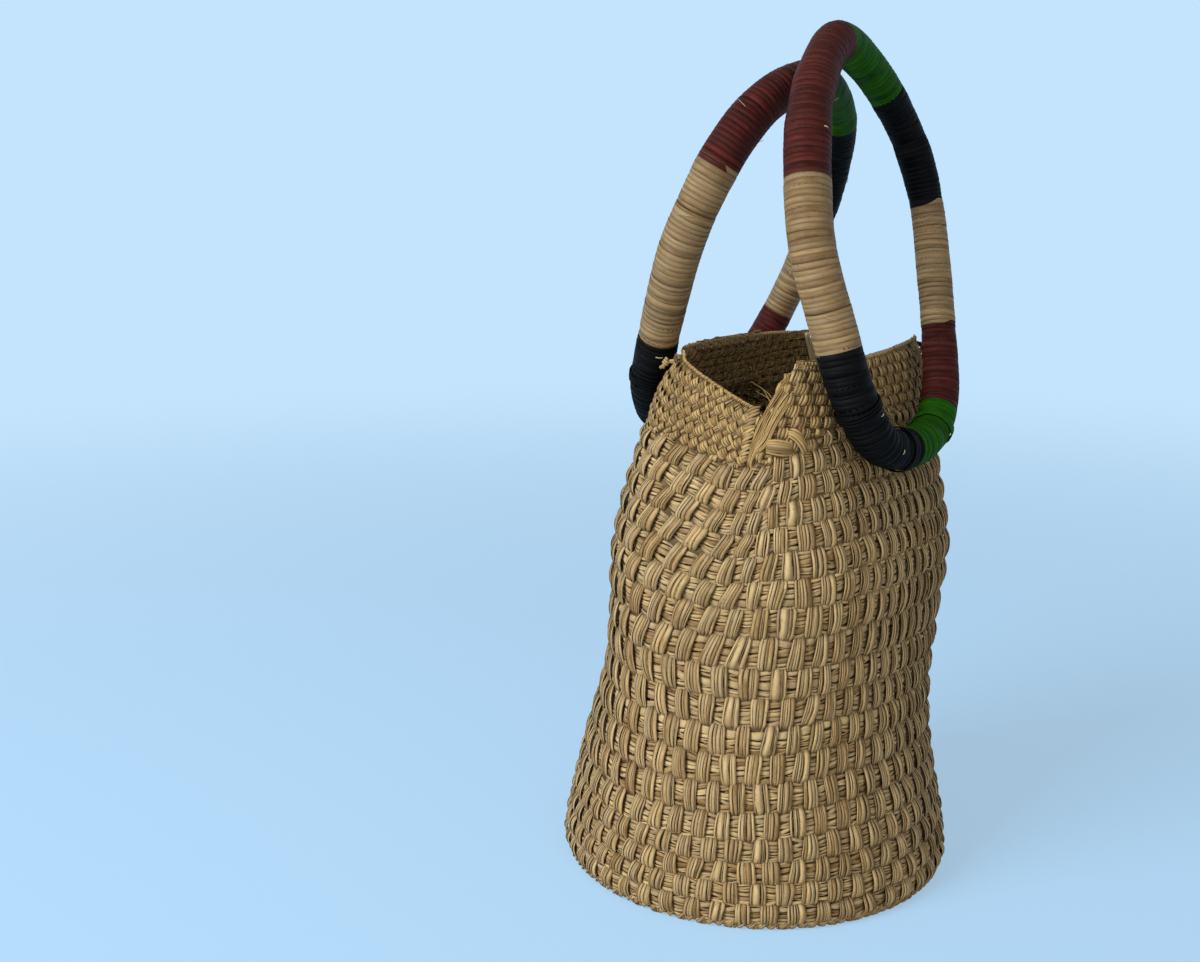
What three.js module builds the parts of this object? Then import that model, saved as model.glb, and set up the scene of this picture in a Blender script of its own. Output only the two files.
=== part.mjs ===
// Woven raffia bucket bag with two wrapped ring handles, as a three.js scene graph.
// Millimetres, +Z up. The origin is the middle of the foot, on the surface the bag stands on.
// The front of the bag looks along -Y and the long side of its mouth lies along X.
// Both collar halves and both handles follow the same half-turn pattern about the upright axis.

import * as THREE from 'three';
import { mergeVertices } from 'three/addons/utils/BufferGeometryUtils.js';

// Wall and foot.
const SHOULDER_HEIGHT = 238; // top of the coarse wall, foot of the fine collar
const MOUTH_HEIGHT = 278; // top edge of the collar
const WALL_THICKNESS = 4;
const COLLAR_THICKNESS = 2.6;
const GAP = 0.4; // clearance between touching pieces
const BORDER_HEIGHT = 7;
const BORDER_INNER = 97;
const BORDER_OUTER = 106.3;
const DISC_THICKNESS = 3;

// The wall leans to one side as it rises, along this heading seen from above.
const LEAN_HEADING = THREE.MathUtils.degToRad(-59);

// Cross-sections of the wall: a rounded square that starts as a circle. "square" is the exponent
// of the superellipse, 2 for an ellipse and higher for squarer corners.
const SECTIONS = [
  { z: 0, lean: 0, halfX: 104, halfY: 104, square: 2.0 },
  { z: 10, lean: 0, halfX: 105, halfY: 105, square: 2.0 },
  { z: 35, lean: 0.5, halfX: 100, halfY: 100, square: 2.05 },
  { z: 70, lean: 1.5, halfX: 91.5, halfY: 91.5, square: 2.15 },
  { z: 105, lean: 5.5, halfX: 85, halfY: 85, square: 2.3 },
  { z: 140, lean: 9, halfX: 85.5, halfY: 82.5, square: 2.5 },
  { z: 175, lean: 12, halfX: 88.5, halfY: 80.5, square: 2.7 },
  { z: 205, lean: 13, halfX: 87, halfY: 72, square: 2.9 },
  { z: 230, lean: 14.5, halfX: 84.5, halfY: 62.5, square: 3.2 },
  { z: 252, lean: 16, halfX: 80, halfY: 54, square: 3.7 },
  { z: 266, lean: 18, halfX: 75, halfY: 48.5, square: 4.4 },
  { z: 278, lean: 20.5, halfX: 70, halfY: 41.5, square: 5.0 },
];

// Collar marks for the front half, as bearings in degrees about the middle of the section.
// The back half is the same pattern half a turn on.
const HEM_FOOT_BEARING = 198.5;
const HEM_TOP_BEARING = 207.5;
const HEM_WIDTH_BEARING = 2.4;
const PEAK_BEARING = 329;
const SLIT_BEARING = 377.2;
const VALLEY_HEIGHT = 257;
const SLIT_FOOT_HEIGHT = 243;
const PEAK_RISE = 2;
const EDGE_SAG = 2.5; // dip of the top edge between its two corners

// Trim.
const BINDING_RADIUS = 1.9;
const EDGE_CORD_RADIUS = 1.1;
const KNOT_RADIUS = 2.8;
const GATHER_LOW = 219; // heights of the gathered bundle at the foot of a slit
const GATHER_HIGH = 243;
const GATHER_HALF_WIDTH = 4.5;
const GATHER_DEPTH = 2;
const TIE_WIRE_RADIUS = 0.75;

// Ring handles. Each centreline lies in a plane that leans towards the other ring. Points are
// millimetres across and up the plane from the height PLANE_HEIGHT, clockwise from the top as
// seen from the front.
const PLANE_HEIGHT = 260;
const CORE_CLEARANCE = 0.4;
const RIBBON_DEPTH = 1.7;
const FRONT_RING = {
  name: 'front',
  side: 1,
  planeY: -80.3,
  leanDegrees: 14,
  points: [
    [0, 175], [24, 166], [45, 148], [61, 123], [66, 95], [61, 62], [53, 27], [42, -4], [24, -21],
    [-8, -26], [-35, -18], [-50, 6], [-57, 40], [-62, 75], [-56, 104], [-42, 138], [-23, 161],
  ],
  lengths: [50, 61, 64, 47, 45, 80, 80, 90],
};
const BACK_RING = {
  name: 'back',
  side: -1,
  planeY: 51.5,
  leanDegrees: 24.5,
  points: [
    [14, 168], [39, 160], [57, 147], [70, 126], [78, 100], [81, 67], [79, 31], [68, -2], [48, -22],
    [20, -29], [-7, -24], [-27, -5], [-38, 26], [-45, 52], [-50, 78], [-49, 104], [-43, 130],
    [-30, 151], [-9, 164],
  ],
  lengths: [48, 56, 62, 45, 43, 90, 98, 80],
};

// Outer radius of the grip at the start of each section, clockwise from the top.
const GRIP_RADII = [10.2, 9.3, 8.8, 9.0, 9.8, 10.3, 11.0, 11.2];
const CORE_STATIONS = 60;
const CORE_SIDES = 8;

// Wound ribbon: the turns of one section come from its length.
const TURN_PITCH = 10;
const STEPS_PER_TURN = 9;
const RIBBON_GAP = 1.1;
const RIBBON_END_TRIM = 0.08; // share of a turn left open before the next section starts
const RIBBON_CROWN = 0.62; // width of the ribbon's crown over the width of its foot
const WIND_SECTIONS = [
  { name: 'top_green', finish: 'green' },
  { name: 'upper_black', finish: 'black' },
  { name: 'side_natural', finish: 'natural' },
  { name: 'lower_brown', finish: 'brown' },
  { name: 'bottom_green', finish: 'green' },
  { name: 'lower_black', finish: 'black' },
  { name: 'long_natural', finish: 'natural' },
  { name: 'top_brown', finish: 'brown' },
];
// Sewn ties: places as shares of the ring's length, all on its lowest stretch, in its own colours.
const TIES = [
  { share: 0.455, finish: 'green' },
  { share: 0.535, finish: 'black' },
  { share: 0.615, finish: 'black' },
];

const FINISHES = {
  weave: { color: 0xb9985f, roughness: 0.85 },
  fine: { color: 0xbf9c60, roughness: 0.85 },
  hem: { color: 0xd2b884, roughness: 0.85 },
  cane: { color: 0x9a7b4a, roughness: 0.8 },
  green: { color: 0x2f6d16, roughness: 0.7 },
  black: { color: 0x1d1d22, roughness: 0.7 },
  natural: { color: 0xcfae78, roughness: 0.75 },
  brown: { color: 0x5a2a22, roughness: 0.7 },
};

function finish(name) {
  return new THREE.MeshStandardMaterial({ ...FINISHES[name], metalness: 0 });
}

function named(name, geometry, finishName) {
  const mesh = new THREE.Mesh(geometry, finish(finishName));
  mesh.name = name;
  return mesh;
}

// Value of a list of {z, ...} rows at a height, by a cubic through the rows.
function rowValue(rows, key, z) {
  const last = rows.length - 1;
  let i = 0;
  while (i < last - 1 && z > rows[i + 1].z) {
    i += 1;
  }
  const slope = (k) => {
    const low = rows[Math.max(k - 1, 0)];
    const high = rows[Math.min(k + 1, last)];
    return (high[key] - low[key]) / (high.z - low.z);
  };
  const span = rows[i + 1].z - rows[i].z;
  const t = THREE.MathUtils.clamp((z - rows[i].z) / span, 0, 1);
  const rise = rows[i + 1][key] - rows[i][key];
  const curve = t * (t - 1) * ((t - 1) * (slope(i) * span - rise) + t * (slope(i + 1) * span - rise));
  return rows[i][key] + t * rise + curve;
}

// Point of the wall's outer face, moved inwards by "inset", at a height and a bearing in degrees.
function wallPoint(z, bearing, inset = 0) {
  const lean = rowValue(SECTIONS, 'lean', z);
  const halfX = rowValue(SECTIONS, 'halfX', z) - inset;
  const halfY = rowValue(SECTIONS, 'halfY', z) - inset;
  const power = rowValue(SECTIONS, 'square', z);
  const angle = THREE.MathUtils.degToRad(bearing);
  const c = Math.cos(angle);
  const s = Math.sin(angle);
  const reach = (Math.abs(c / halfX) ** power + Math.abs(s / halfY) ** power) ** (-1 / power);
  const x = lean * Math.cos(LEAN_HEADING) + reach * c;
  const y = lean * Math.sin(LEAN_HEADING) + reach * s;
  return new THREE.Vector3(x, y, z);
}

// Indexed triangles as a geometry whose faces point outwards.
function solidFrom(points, triangles) {
  let volume = 0;
  for (const [a, b, c] of triangles) {
    volume += points[a].dot(new THREE.Vector3().crossVectors(points[b], points[c]));
  }
  const index = triangles.flatMap(([a, b, c]) => (volume < 0 ? [a, c, b] : [a, b, c]));
  const geometry = new THREE.BufferGeometry();
  const numbers = points.flatMap((point) => point.toArray());
  geometry.setAttribute('position', new THREE.Float32BufferAttribute(numbers, 3));
  geometry.setIndex(index);
  return geometry;
}

// Closed rings of points joined one after the other, as a loop or with both ends capped.
function sweptSolid(rings, isLoop) {
  const sides = rings[0].length;
  const points = rings.flat();
  const triangles = [];
  const bands = isLoop ? rings.length : rings.length - 1;
  for (let i = 0; i < bands; i += 1) {
    const here = i * sides;
    const next = ((i + 1) % rings.length) * sides;
    for (let j = 0; j < sides; j += 1) {
      const k = (j + 1) % sides;
      triangles.push([here + j, here + k, next + k], [here + j, next + k, next + j]);
    }
  }
  if (!isLoop) {
    const end = (rings.length - 1) * sides;
    for (let j = 1; j < sides - 1; j += 1) {
      triangles.push([0, j + 1, j], [end, end + j, end + j + 1]);
    }
  }
  return solidFrom(points, triangles);
}

// A thin panel between an outer and an inner grid of points, closed along all four edges.
function panelSolid(outer, inner) {
  const columns = outer.length;
  const rows = outer[0].length;
  const points = [...outer.flat(), ...inner.flat()];
  const back = columns * rows;
  const at = (i, j) => i * rows + j;
  const triangles = [];
  for (let i = 0; i < columns - 1; i += 1) {
    for (let j = 0; j < rows - 1; j += 1) {
      const [a, b, c, d] = [at(i, j), at(i + 1, j), at(i + 1, j + 1), at(i, j + 1)];
      triangles.push([a, b, c], [a, c, d]);
      triangles.push([back + a, back + c, back + b], [back + a, back + d, back + c]);
    }
  }
  const rim = [];
  for (let i = 0; i < columns - 1; i += 1) {
    rim.push([at(i, 0), at(i + 1, 0)]);
  }
  for (let j = 0; j < rows - 1; j += 1) {
    rim.push([at(columns - 1, j), at(columns - 1, j + 1)]);
  }
  for (let i = columns - 1; i > 0; i -= 1) {
    rim.push([at(i, rows - 1), at(i - 1, rows - 1)]);
  }
  for (let j = rows - 1; j > 0; j -= 1) {
    rim.push([at(0, j), at(0, j - 1)]);
  }
  for (const [a, b] of rim) {
    triangles.push([a, back + a, back + b], [a, back + b, b]);
  }
  return solidFrom(points, triangles);
}

// A round bar along an open run of points.
function barAlong(points, radius, steps, sides = 8) {
  const outline = new THREE.Shape();
  for (let k = 0; k < sides; k += 1) {
    const angle = (2 * Math.PI * k) / sides;
    const [x, y] = [radius * Math.cos(angle), radius * Math.sin(angle)];
    if (k === 0) {
      outline.moveTo(x, y);
    } else {
      outline.lineTo(x, y);
    }
  }
  const path = new THREE.CatmullRomCurve3(points);
  const bar = new THREE.ExtrudeGeometry(outline, { steps, extrudePath: path, bevelEnabled: false });
  bar.deleteAttribute('normal');
  bar.deleteAttribute('uv');
  return mergeVertices(bar, 1e-4);
}

// Foot: a flat woven disc inside a twined border.
function baseDisc() {
  const radius = BORDER_INNER - GAP;
  const disc = new THREE.CylinderGeometry(radius, radius, DISC_THICKNESS, 48);
  disc.rotateX(Math.PI / 2);
  disc.translate(0, 0, DISC_THICKNESS / 2);
  return named('base_disc', disc, 'weave');
}

function baseBorder() {
  const middle = (BORDER_INNER + BORDER_OUTER) / 2;
  const half = (BORDER_OUTER - BORDER_INNER) / 2;
  const profile = [
    [BORDER_INNER, 1.2], [middle - half * 0.5, 0], [middle + half * 0.5, 0], [BORDER_OUTER, 2],
    [BORDER_OUTER, BORDER_HEIGHT - 2], [middle + half * 0.5, BORDER_HEIGHT],
    [middle - half * 0.5, BORDER_HEIGHT], [BORDER_INNER, BORDER_HEIGHT - 1.5], [BORDER_INNER, 1.2],
  ];
  const ring = new THREE.LatheGeometry(profile.map(([r, z]) => new THREE.Vector2(r, z)), 44);
  ring.rotateX(Math.PI / 2);
  ring.deleteAttribute('normal');
  ring.deleteAttribute('uv');
  return named('base_border', mergeVertices(ring, 1e-4), 'weave');
}

// Coarse woven wall: one hollow tube, open at both ends.
function bodyWall() {
  const levels = [BORDER_HEIGHT + GAP, 20, 40, 65, 90, 115, 145, 175, 200, 220, SHOULDER_HEIGHT];
  const columns = 44;
  const rings = [];
  for (let i = 0; i < columns; i += 1) {
    const bearing = (360 * i) / columns;
    const outer = levels.map((z) => wallPoint(z, bearing));
    const inner = levels.map((z) => wallPoint(z, bearing, WALL_THICKNESS)).reverse();
    rings.push([...outer, ...inner]);
  }
  return named('body_wall', sweptSolid(rings, true), 'weave');
}

// Height of the collar's top edge at a bearing of the front half's own pattern.
function collarTop(bearing) {
  const fall = SLIT_BEARING - PEAK_BEARING;
  if (bearing <= PEAK_BEARING) {
    const share = (bearing - HEM_TOP_BEARING) / (PEAK_BEARING - HEM_TOP_BEARING);
    const across = THREE.MathUtils.clamp(share, 0, 1);
    return MOUTH_HEIGHT + PEAK_RISE * across - EDGE_SAG * Math.sin(Math.PI * across);
  }
  const down = (bearing - PEAK_BEARING) / fall;
  return THREE.MathUtils.lerp(MOUTH_HEIGHT + PEAK_RISE, VALLEY_HEIGHT, down);
}

// Bearing of the free edge beside the slit, which leans towards the corner as it rises.
function hemBearing(z) {
  const rise = (z - SLIT_FOOT_HEIGHT) / (MOUTH_HEIGHT - SLIT_FOOT_HEIGHT);
  return THREE.MathUtils.lerp(HEM_FOOT_BEARING, HEM_TOP_BEARING, THREE.MathUtils.clamp(rise, 0, 1));
}

// Point of the collar: "along" runs from the free edge to the slit, "up" from foot to top edge.
function collarPoint(along, up, inset, turn, topDrop) {
  const foot = SHOULDER_HEIGHT + GAP;
  let bearing = THREE.MathUtils.lerp(HEM_TOP_BEARING + HEM_WIDTH_BEARING, SLIT_BEARING, along);
  const top = collarTop(bearing) - topDrop;
  const z = THREE.MathUtils.lerp(foot, top, up);
  const edge = hemBearing(z) + HEM_WIDTH_BEARING;
  bearing = THREE.MathUtils.lerp(edge, SLIT_BEARING, along);
  return wallPoint(z, bearing + turn, inset);
}

function collarHalf(name, turn) {
  const columns = 27;
  const rows = 4;
  const faces = [0, COLLAR_THICKNESS].map((inset) => {
    const grid = [];
    for (let i = 0; i <= columns; i += 1) {
      const column = [];
      for (let j = 0; j <= rows; j += 1) {
        column.push(collarPoint(i / columns, j / rows, inset + 0.6, turn, 0));
      }
      grid.push(column);
    }
    return grid;
  });
  return named(`collar_${name}`, panelSolid(...faces), 'fine');
}

// Light band that finishes the free edge, from the foot of the slit to the corner.
function hemBand(name, turn) {
  const rows = 6;
  const faces = [0, COLLAR_THICKNESS + 0.6].map((inset) => {
    const grid = [];
    for (const share of [0, 0.8]) {
      const column = [];
      for (let j = 0; j <= rows; j += 1) {
        const z = THREE.MathUtils.lerp(SLIT_FOOT_HEIGHT, MOUTH_HEIGHT, j / rows);
        column.push(wallPoint(z, hemBearing(z) + HEM_WIDTH_BEARING * share + turn, inset));
      }
      grid.push(column);
    }
    return grid;
  });
  return named(`hem_${name}`, panelSolid(...faces), 'hem');
}

// Run of points just over the collar's top edge between two bearings.
function edgeRun(from, to, count, lift, turn) {
  const run = [];
  for (let i = 0; i <= count; i += 1) {
    const bearing = THREE.MathUtils.lerp(from, to, i / count);
    const top = collarTop(bearing);
    const seat = wallPoint(top, bearing + turn, COLLAR_THICKNESS / 2 + 0.6);
    seat.z = top + lift;
    run.push(seat);
  }
  return run;
}

function rimBinding(name, turn) {
  const lift = BINDING_RADIUS + GAP;
  const run = edgeRun(HEM_TOP_BEARING + HEM_WIDTH_BEARING, PEAK_BEARING - 1, 26, lift, turn);
  return named(`rim_binding_${name}`, barAlong(run, BINDING_RADIUS, 28, 6), 'fine');
}

function edgeCord(name, turn) {
  const lift = EDGE_CORD_RADIUS * 1.3 + GAP;
  const run = edgeRun(PEAK_BEARING + 4, SLIT_BEARING - 1, 14, lift, turn);
  return named(`edge_cord_${name}`, barAlong(run, EDGE_CORD_RADIUS, 20, 6), 'natural');
}

// Gathered strands that close the foot of a slit: a tapered bundle on the outside of the wall.
function slitGather(name, turn) {
  const bearing = HEM_FOOT_BEARING - 0.8 + turn;
  const levels = 6;
  const sides = 8;
  const rings = [];
  for (let i = 0; i <= levels; i += 1) {
    const share = i / levels;
    const z = THREE.MathUtils.lerp(GATHER_LOW, GATHER_HIGH, share);
    const swell = 0.35 + 0.65 * Math.sin(Math.PI * (0.12 + 0.8 * share));
    const seat = wallPoint(z, bearing);
    const aside = wallPoint(z, bearing + 1).sub(seat).normalize();
    const out = new THREE.Vector3(aside.y, -aside.x, 0);
    seat.addScaledVector(out, GATHER_DEPTH + 2 * GAP);
    const ring = [];
    for (let k = 0; k < sides; k += 1) {
      const angle = (2 * Math.PI * k) / sides;
      const across = GATHER_HALF_WIDTH * swell * Math.cos(angle);
      const deep = GATHER_DEPTH * swell * Math.sin(angle);
      ring.push(seat.clone().addScaledVector(aside, across).addScaledVector(out, deep));
    }
    rings.push(ring);
  }
  return named(`slit_gather_${name}`, sweptSolid(rings, false), 'natural');
}

// Small knot that ends the binding at a peak.
function peakKnot(name, turn) {
  const seat = wallPoint(MOUTH_HEIGHT - 6, PEAK_BEARING + turn, -(KNOT_RADIUS + GAP));
  const knot = new THREE.SphereGeometry(KNOT_RADIUS, 10, 8);
  knot.scale(1, 1, 1.25);
  knot.translate(seat.x, seat.y, seat.z);
  return named(`peak_knot_${name}`, knot, 'natural');
}

// Centreline of a ring with its own frame: outwards in the plane, and square to the plane.
function ringPath(ring) {
  const lean = THREE.MathUtils.degToRad(ring.leanDegrees);
  const up = new THREE.Vector3(0, ring.side * Math.sin(lean), Math.cos(lean));
  const square = new THREE.Vector3(0, -ring.side * Math.cos(lean), Math.sin(lean));
  const origin = new THREE.Vector3(0, ring.planeY, PLANE_HEIGHT);
  const points = ring.points.map(([x, v]) => origin.clone().addScaledVector(up, v).setX(x));
  const curve = new THREE.CatmullRomCurve3(points, true, 'centripetal');
  curve.arcLengthDivisions = 800;
  const total = curve.getLength();
  const sum = ring.lengths.reduce((a, b) => a + b, 0);
  const starts = [0];
  for (const length of ring.lengths) {
    starts.push(starts[starts.length - 1] + length / sum);
  }
  const wrap = (share) => ((share % 1) + 1) % 1;
  const frameAt = (share) => {
    const centre = curve.getPointAt(wrap(share));
    const along = curve.getTangentAt(wrap(share));
    return { centre, out: new THREE.Vector3().crossVectors(along, square).normalize(), square };
  };
  const radiusAt = (share) => {
    const place = wrap(share);
    let k = 0;
    while (k < 7 && place > starts[k + 1]) {
      k += 1;
    }
    const t = (place - starts[k]) / (starts[k + 1] - starts[k]);
    const ease = t * t * (3 - 2 * t);
    return THREE.MathUtils.lerp(GRIP_RADII[k], GRIP_RADII[(k + 1) % 8], ease);
  };
  return { curve, total, starts, frameAt, radiusAt };
}

function pointRound(path, share, angle, radius) {
  const { centre, out, square } = path.frameAt(share);
  centre.addScaledVector(out, radius * Math.cos(angle));
  return centre.addScaledVector(square, radius * Math.sin(angle));
}

// The ring that the raffia is wound on, thin enough for the flat steps of the ribbon.
function ringCore(ring, path) {
  const rings = [];
  for (let i = 0; i < CORE_STATIONS; i += 1) {
    const share = i / CORE_STATIONS;
    const inside = (path.radiusAt(share) - RIBBON_DEPTH) * Math.cos(Math.PI / STEPS_PER_TURN);
    const section = [];
    for (let k = 0; k < CORE_SIDES; k += 1) {
      section.push(pointRound(path, share, (2 * Math.PI * k) / CORE_SIDES, inside - CORE_CLEARANCE));
    }
    rings.push(section);
  }
  return named(`${ring.name}_handle_core`, sweptSolid(rings, true), 'cane');
}

// One wound section: a single flat ribbon that climbs round the ring, a turn beside a turn. The
// sections follow one another on one helix, so each starts where the last one ends.
function windingRings(path, from, to) {
  const turns = Math.round(((to - from) * path.total) / TURN_PITCH);
  const pitch = (to - from) / turns;
  const half = (pitch - RIBBON_GAP / path.total) / 2;
  const steps = turns * STEPS_PER_TURN;
  const rings = [];
  for (let i = 0; i <= steps; i += 1) {
    const turn = (i / steps) * (turns - RIBBON_END_TRIM);
    const share = from + turn * pitch;
    const angle = 2 * Math.PI * turn;
    const outer = path.radiusAt(share);
    const inner = outer - RIBBON_DEPTH;
    const crown = half * RIBBON_CROWN;
    const corners = [[-half, inner], [half, inner], [crown, outer], [-crown, outer]];
    rings.push(corners.map(([shift, radius]) => pointRound(path, share + shift, angle, radius)));
  }
  return rings;
}

// Least distance between a ribbon's edges one turn and more apart.
function leastGap(rings) {
  let least = Infinity;
  for (let i = 0; i < rings.length; i += 1) {
    const facing = [rings[i][1], rings[i][2]];
    for (let j = i + STEPS_PER_TURN - 2; j <= Math.min(i + STEPS_PER_TURN + 2, rings.length - 1); j += 1) {
      for (const a of facing) {
        for (const b of [rings[j][0], rings[j][3]]) {
          least = Math.min(least, a.distanceTo(b));
        }
      }
    }
  }
  return least;
}

function windings(ring, path) {
  return WIND_SECTIONS.map((section, k) => {
    const rings = windingRings(path, path.starts[k], path.starts[k + 1]);
    console.log(`${ring.name} ${section.name}: least gap to itself ${leastGap(rings).toFixed(2)} mm`);
    return named(`${ring.name}_wrap_${section.name}`, sweptSolid(rings, false), section.finish);
  });
}

// Sewn tie round the grip, over the windings.
function sewnTie(ring, path, number, { share, finish: tieFinish }) {
  const middle = path.radiusAt(share) + TIE_WIRE_RADIUS + GAP + 0.1;
  const rings = [];
  const steps = 14;
  const sides = 4;
  const lean = (TIE_WIRE_RADIUS * 1.5) / path.total;
  for (let i = 0; i < steps; i += 1) {
    const angle = (2 * Math.PI * i) / steps;
    const corners = [];
    for (let k = 0; k < sides; k += 1) {
      const turn = (2 * Math.PI * k) / sides;
      const shift = (TIE_WIRE_RADIUS * Math.sin(turn)) / path.total + lean * Math.cos(angle);
      corners.push(pointRound(path, share + shift, angle, middle + TIE_WIRE_RADIUS * Math.cos(turn)));
    }
    rings.push(corners);
  }
  return named(`${ring.name}_sewn_tie_${number}`, sweptSolid(rings, true), tieFinish);
}

function handle(ring) {
  const group = new THREE.Group();
  const path = ringPath(ring);
  group.add(ringCore(ring, path), ...windings(ring, path));
  TIES.forEach((tie, k) => group.add(sewnTie(ring, path, k + 1, tie)));
  return group;
}

function collar(name, turn) {
  const group = new THREE.Group();
  group.add(collarHalf(name, turn), hemBand(name, turn), rimBinding(name, turn), edgeCord(name, turn));
  group.add(slitGather(name, turn), peakKnot(name, turn));
  return group;
}

const bag = new THREE.Group();
bag.add(baseDisc(), baseBorder(), bodyWall());
bag.add(collar('front', 0), collar('back', 180));
bag.add(handle(FRONT_RING), handle(BACK_RING));

export default bag;
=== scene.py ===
"""Looks of a round-footed raffia bag with two wound ring handles.

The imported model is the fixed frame. Each visible piece is a set of raffia strands carried along
worked-out paths: a coarse plain weave for the wall, a finer one for the two collar halves, a twined
border, a woven foot, wound rings and the stitches that hold them. Lengths are millimetres until a
mesh is written, and bearings are degrees seen from above, counterclockwise from +X.
"""

import logging
import math
from dataclasses import dataclass
from enum import Enum
from functools import partial

import bpy
import numpy as np
from mathutils import Matrix, Vector


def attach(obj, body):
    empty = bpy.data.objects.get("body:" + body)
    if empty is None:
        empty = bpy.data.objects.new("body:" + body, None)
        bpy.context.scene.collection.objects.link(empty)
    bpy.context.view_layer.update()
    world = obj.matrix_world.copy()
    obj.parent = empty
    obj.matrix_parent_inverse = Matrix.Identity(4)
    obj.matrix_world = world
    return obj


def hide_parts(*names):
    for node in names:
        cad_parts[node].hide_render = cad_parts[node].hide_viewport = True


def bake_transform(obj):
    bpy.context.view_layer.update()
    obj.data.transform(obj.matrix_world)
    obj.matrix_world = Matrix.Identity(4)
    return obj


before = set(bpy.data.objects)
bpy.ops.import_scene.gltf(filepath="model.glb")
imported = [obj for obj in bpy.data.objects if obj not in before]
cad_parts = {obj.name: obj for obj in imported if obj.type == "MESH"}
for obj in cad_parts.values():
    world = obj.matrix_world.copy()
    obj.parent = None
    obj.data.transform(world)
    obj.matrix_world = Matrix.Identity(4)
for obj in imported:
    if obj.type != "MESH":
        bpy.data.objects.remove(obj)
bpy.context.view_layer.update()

MM = 0.001
Array = np.ndarray
Socket = bpy.types.NodeSocket
Tree = bpy.types.NodeTree
Piece = bpy.types.Object

log = logging.getLogger("bag")


class Dye(Enum):
    """The finishes of the strands, named as the record's material slots are."""

    WEAVE = "weave"
    FINE = "fine_weave"
    HEM = "hem"
    CANE = "cane"
    GREEN = "green"
    BLACK = "black"
    NATURAL = "natural"
    BROWN = "brown"


def smooth(share: Array) -> Array:
    """Ease from 0 to 1: 3t^2 - 2t^3, held flat outside that range.

    Args:
        share: values to ease.

    Returns:
        The eased values.
    """
    held = np.clip(share, 0.0, 1.0)
    return held * held * (3.0 - 2.0 * held)


def unit(vectors: Array) -> Array:
    """Vectors over their own length, along the last axis."""
    return vectors / np.maximum(np.linalg.norm(vectors, axis=-1, keepdims=True), 1e-12)


def tangents(path: Array, closed: bool) -> Array:
    """Unit direction of travel at each station: the next station less the one before.

    Args:
        path: strands by stations by 3.
        closed: True where the last station joins the first.

    Returns:
        Unit vectors of the same shape.
    """
    if closed:
        return unit(np.roll(path, -1, axis=1) - np.roll(path, 1, axis=1))
    return unit(np.gradient(path, axis=1))


def wander(rng: np.random.Generator, strands: int, place: Array, size: float, closed: bool = False) -> Array:
    """Random drift: one normal value at each whole number of "place", eased in between.

    Args:
        rng: source of the values.
        strands: number of independent drifts.
        place: stations, in knots from 0 upwards.
        size: standard deviation of a value.
        closed: True where the last knot repeats the first.

    Returns:
        Strands by stations.
    """
    knots = int(math.ceil(float(place.max()))) + 2
    values = rng.normal(0.0, size, (strands, knots))
    if closed:
        values[:, int(round(float(place.max())))] = values[:, 0]
    low = np.floor(place).astype(int)
    ease = smooth(place - low)
    return values[:, low] * (1.0 - ease) + values[:, low + 1] * ease


def rounded(sides: int, turn: float = 0.5) -> Array:
    """Section of a flat strand: a regular polygon in a unit square, counterclockwise.

    Args:
        sides: corners of the polygon.
        turn: where the first corner lies, in steps of one side.

    Returns:
        Corners by 2, as shares of width and depth.
    """
    angle = 2.0 * np.pi * (np.arange(sides) + turn) / sides
    return 0.5 * np.stack([np.cos(angle), np.sin(angle)], axis=-1)


def turned(first: Array, second: Array, angle: Array) -> Array:
    """Rays at an angle from one direction towards another: first cos a + second sin a."""
    return first * np.cos(angle)[..., None] + second * np.sin(angle)[..., None]


def about_axis(radius: Array | float, angle: Array, height: Array | float) -> Array:
    """Points at a distance and an angle about the upright axis, with a last axis of 3."""
    return np.stack(np.broadcast_arrays(radius * np.cos(angle), radius * np.sin(angle), height), axis=-1)


def row_under(height: Array, levels: Array) -> tuple[Array, Array]:
    """Row of a table under a height, and how far the height is on its way to the next row."""
    place = np.interp(height, levels, np.arange(len(levels)))
    row = np.minimum(place.astype(int), len(levels) - 2)
    return row, place - row


def among(table: Array, row: Array, column: Array, on: Array, aside: Array) -> Array:
    """Value between four neighbours of a table.

    Args:
        table: rows by columns.
        row: row under the place.
        column: column before the place.
        on: share of the next row.
        aside: share of the next column.

    Returns:
        The values there.
    """
    low, high = (table[i, column] * (1 - aside) + table[i, column + 1] * aside for i in (row, row + 1))
    return low * (1 - on) + high * on


UP = np.array([0.0, 0.0, 1.0])
DOMED = np.array([(0.5, -0.2), (0.41, 0.26), (0.17, 0.46), (-0.17, 0.46), (-0.41, 0.26), (-0.5, -0.2)])
STRIP = np.array([(0.5, -0.4), (0.495, 0.3), (0.43, 0.46), (-0.43, 0.46), (-0.495, 0.3), (-0.5, -0.4)])
FLAT = np.array([(0.5, -0.2), (0.3, 0.4), (0.0, 0.5), (-0.3, 0.4), (-0.5, -0.2)])
# Share of painted shade for backing strips, enough to reach nearly the full shade colour.
BACKING_SHADE = 1.2


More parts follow.
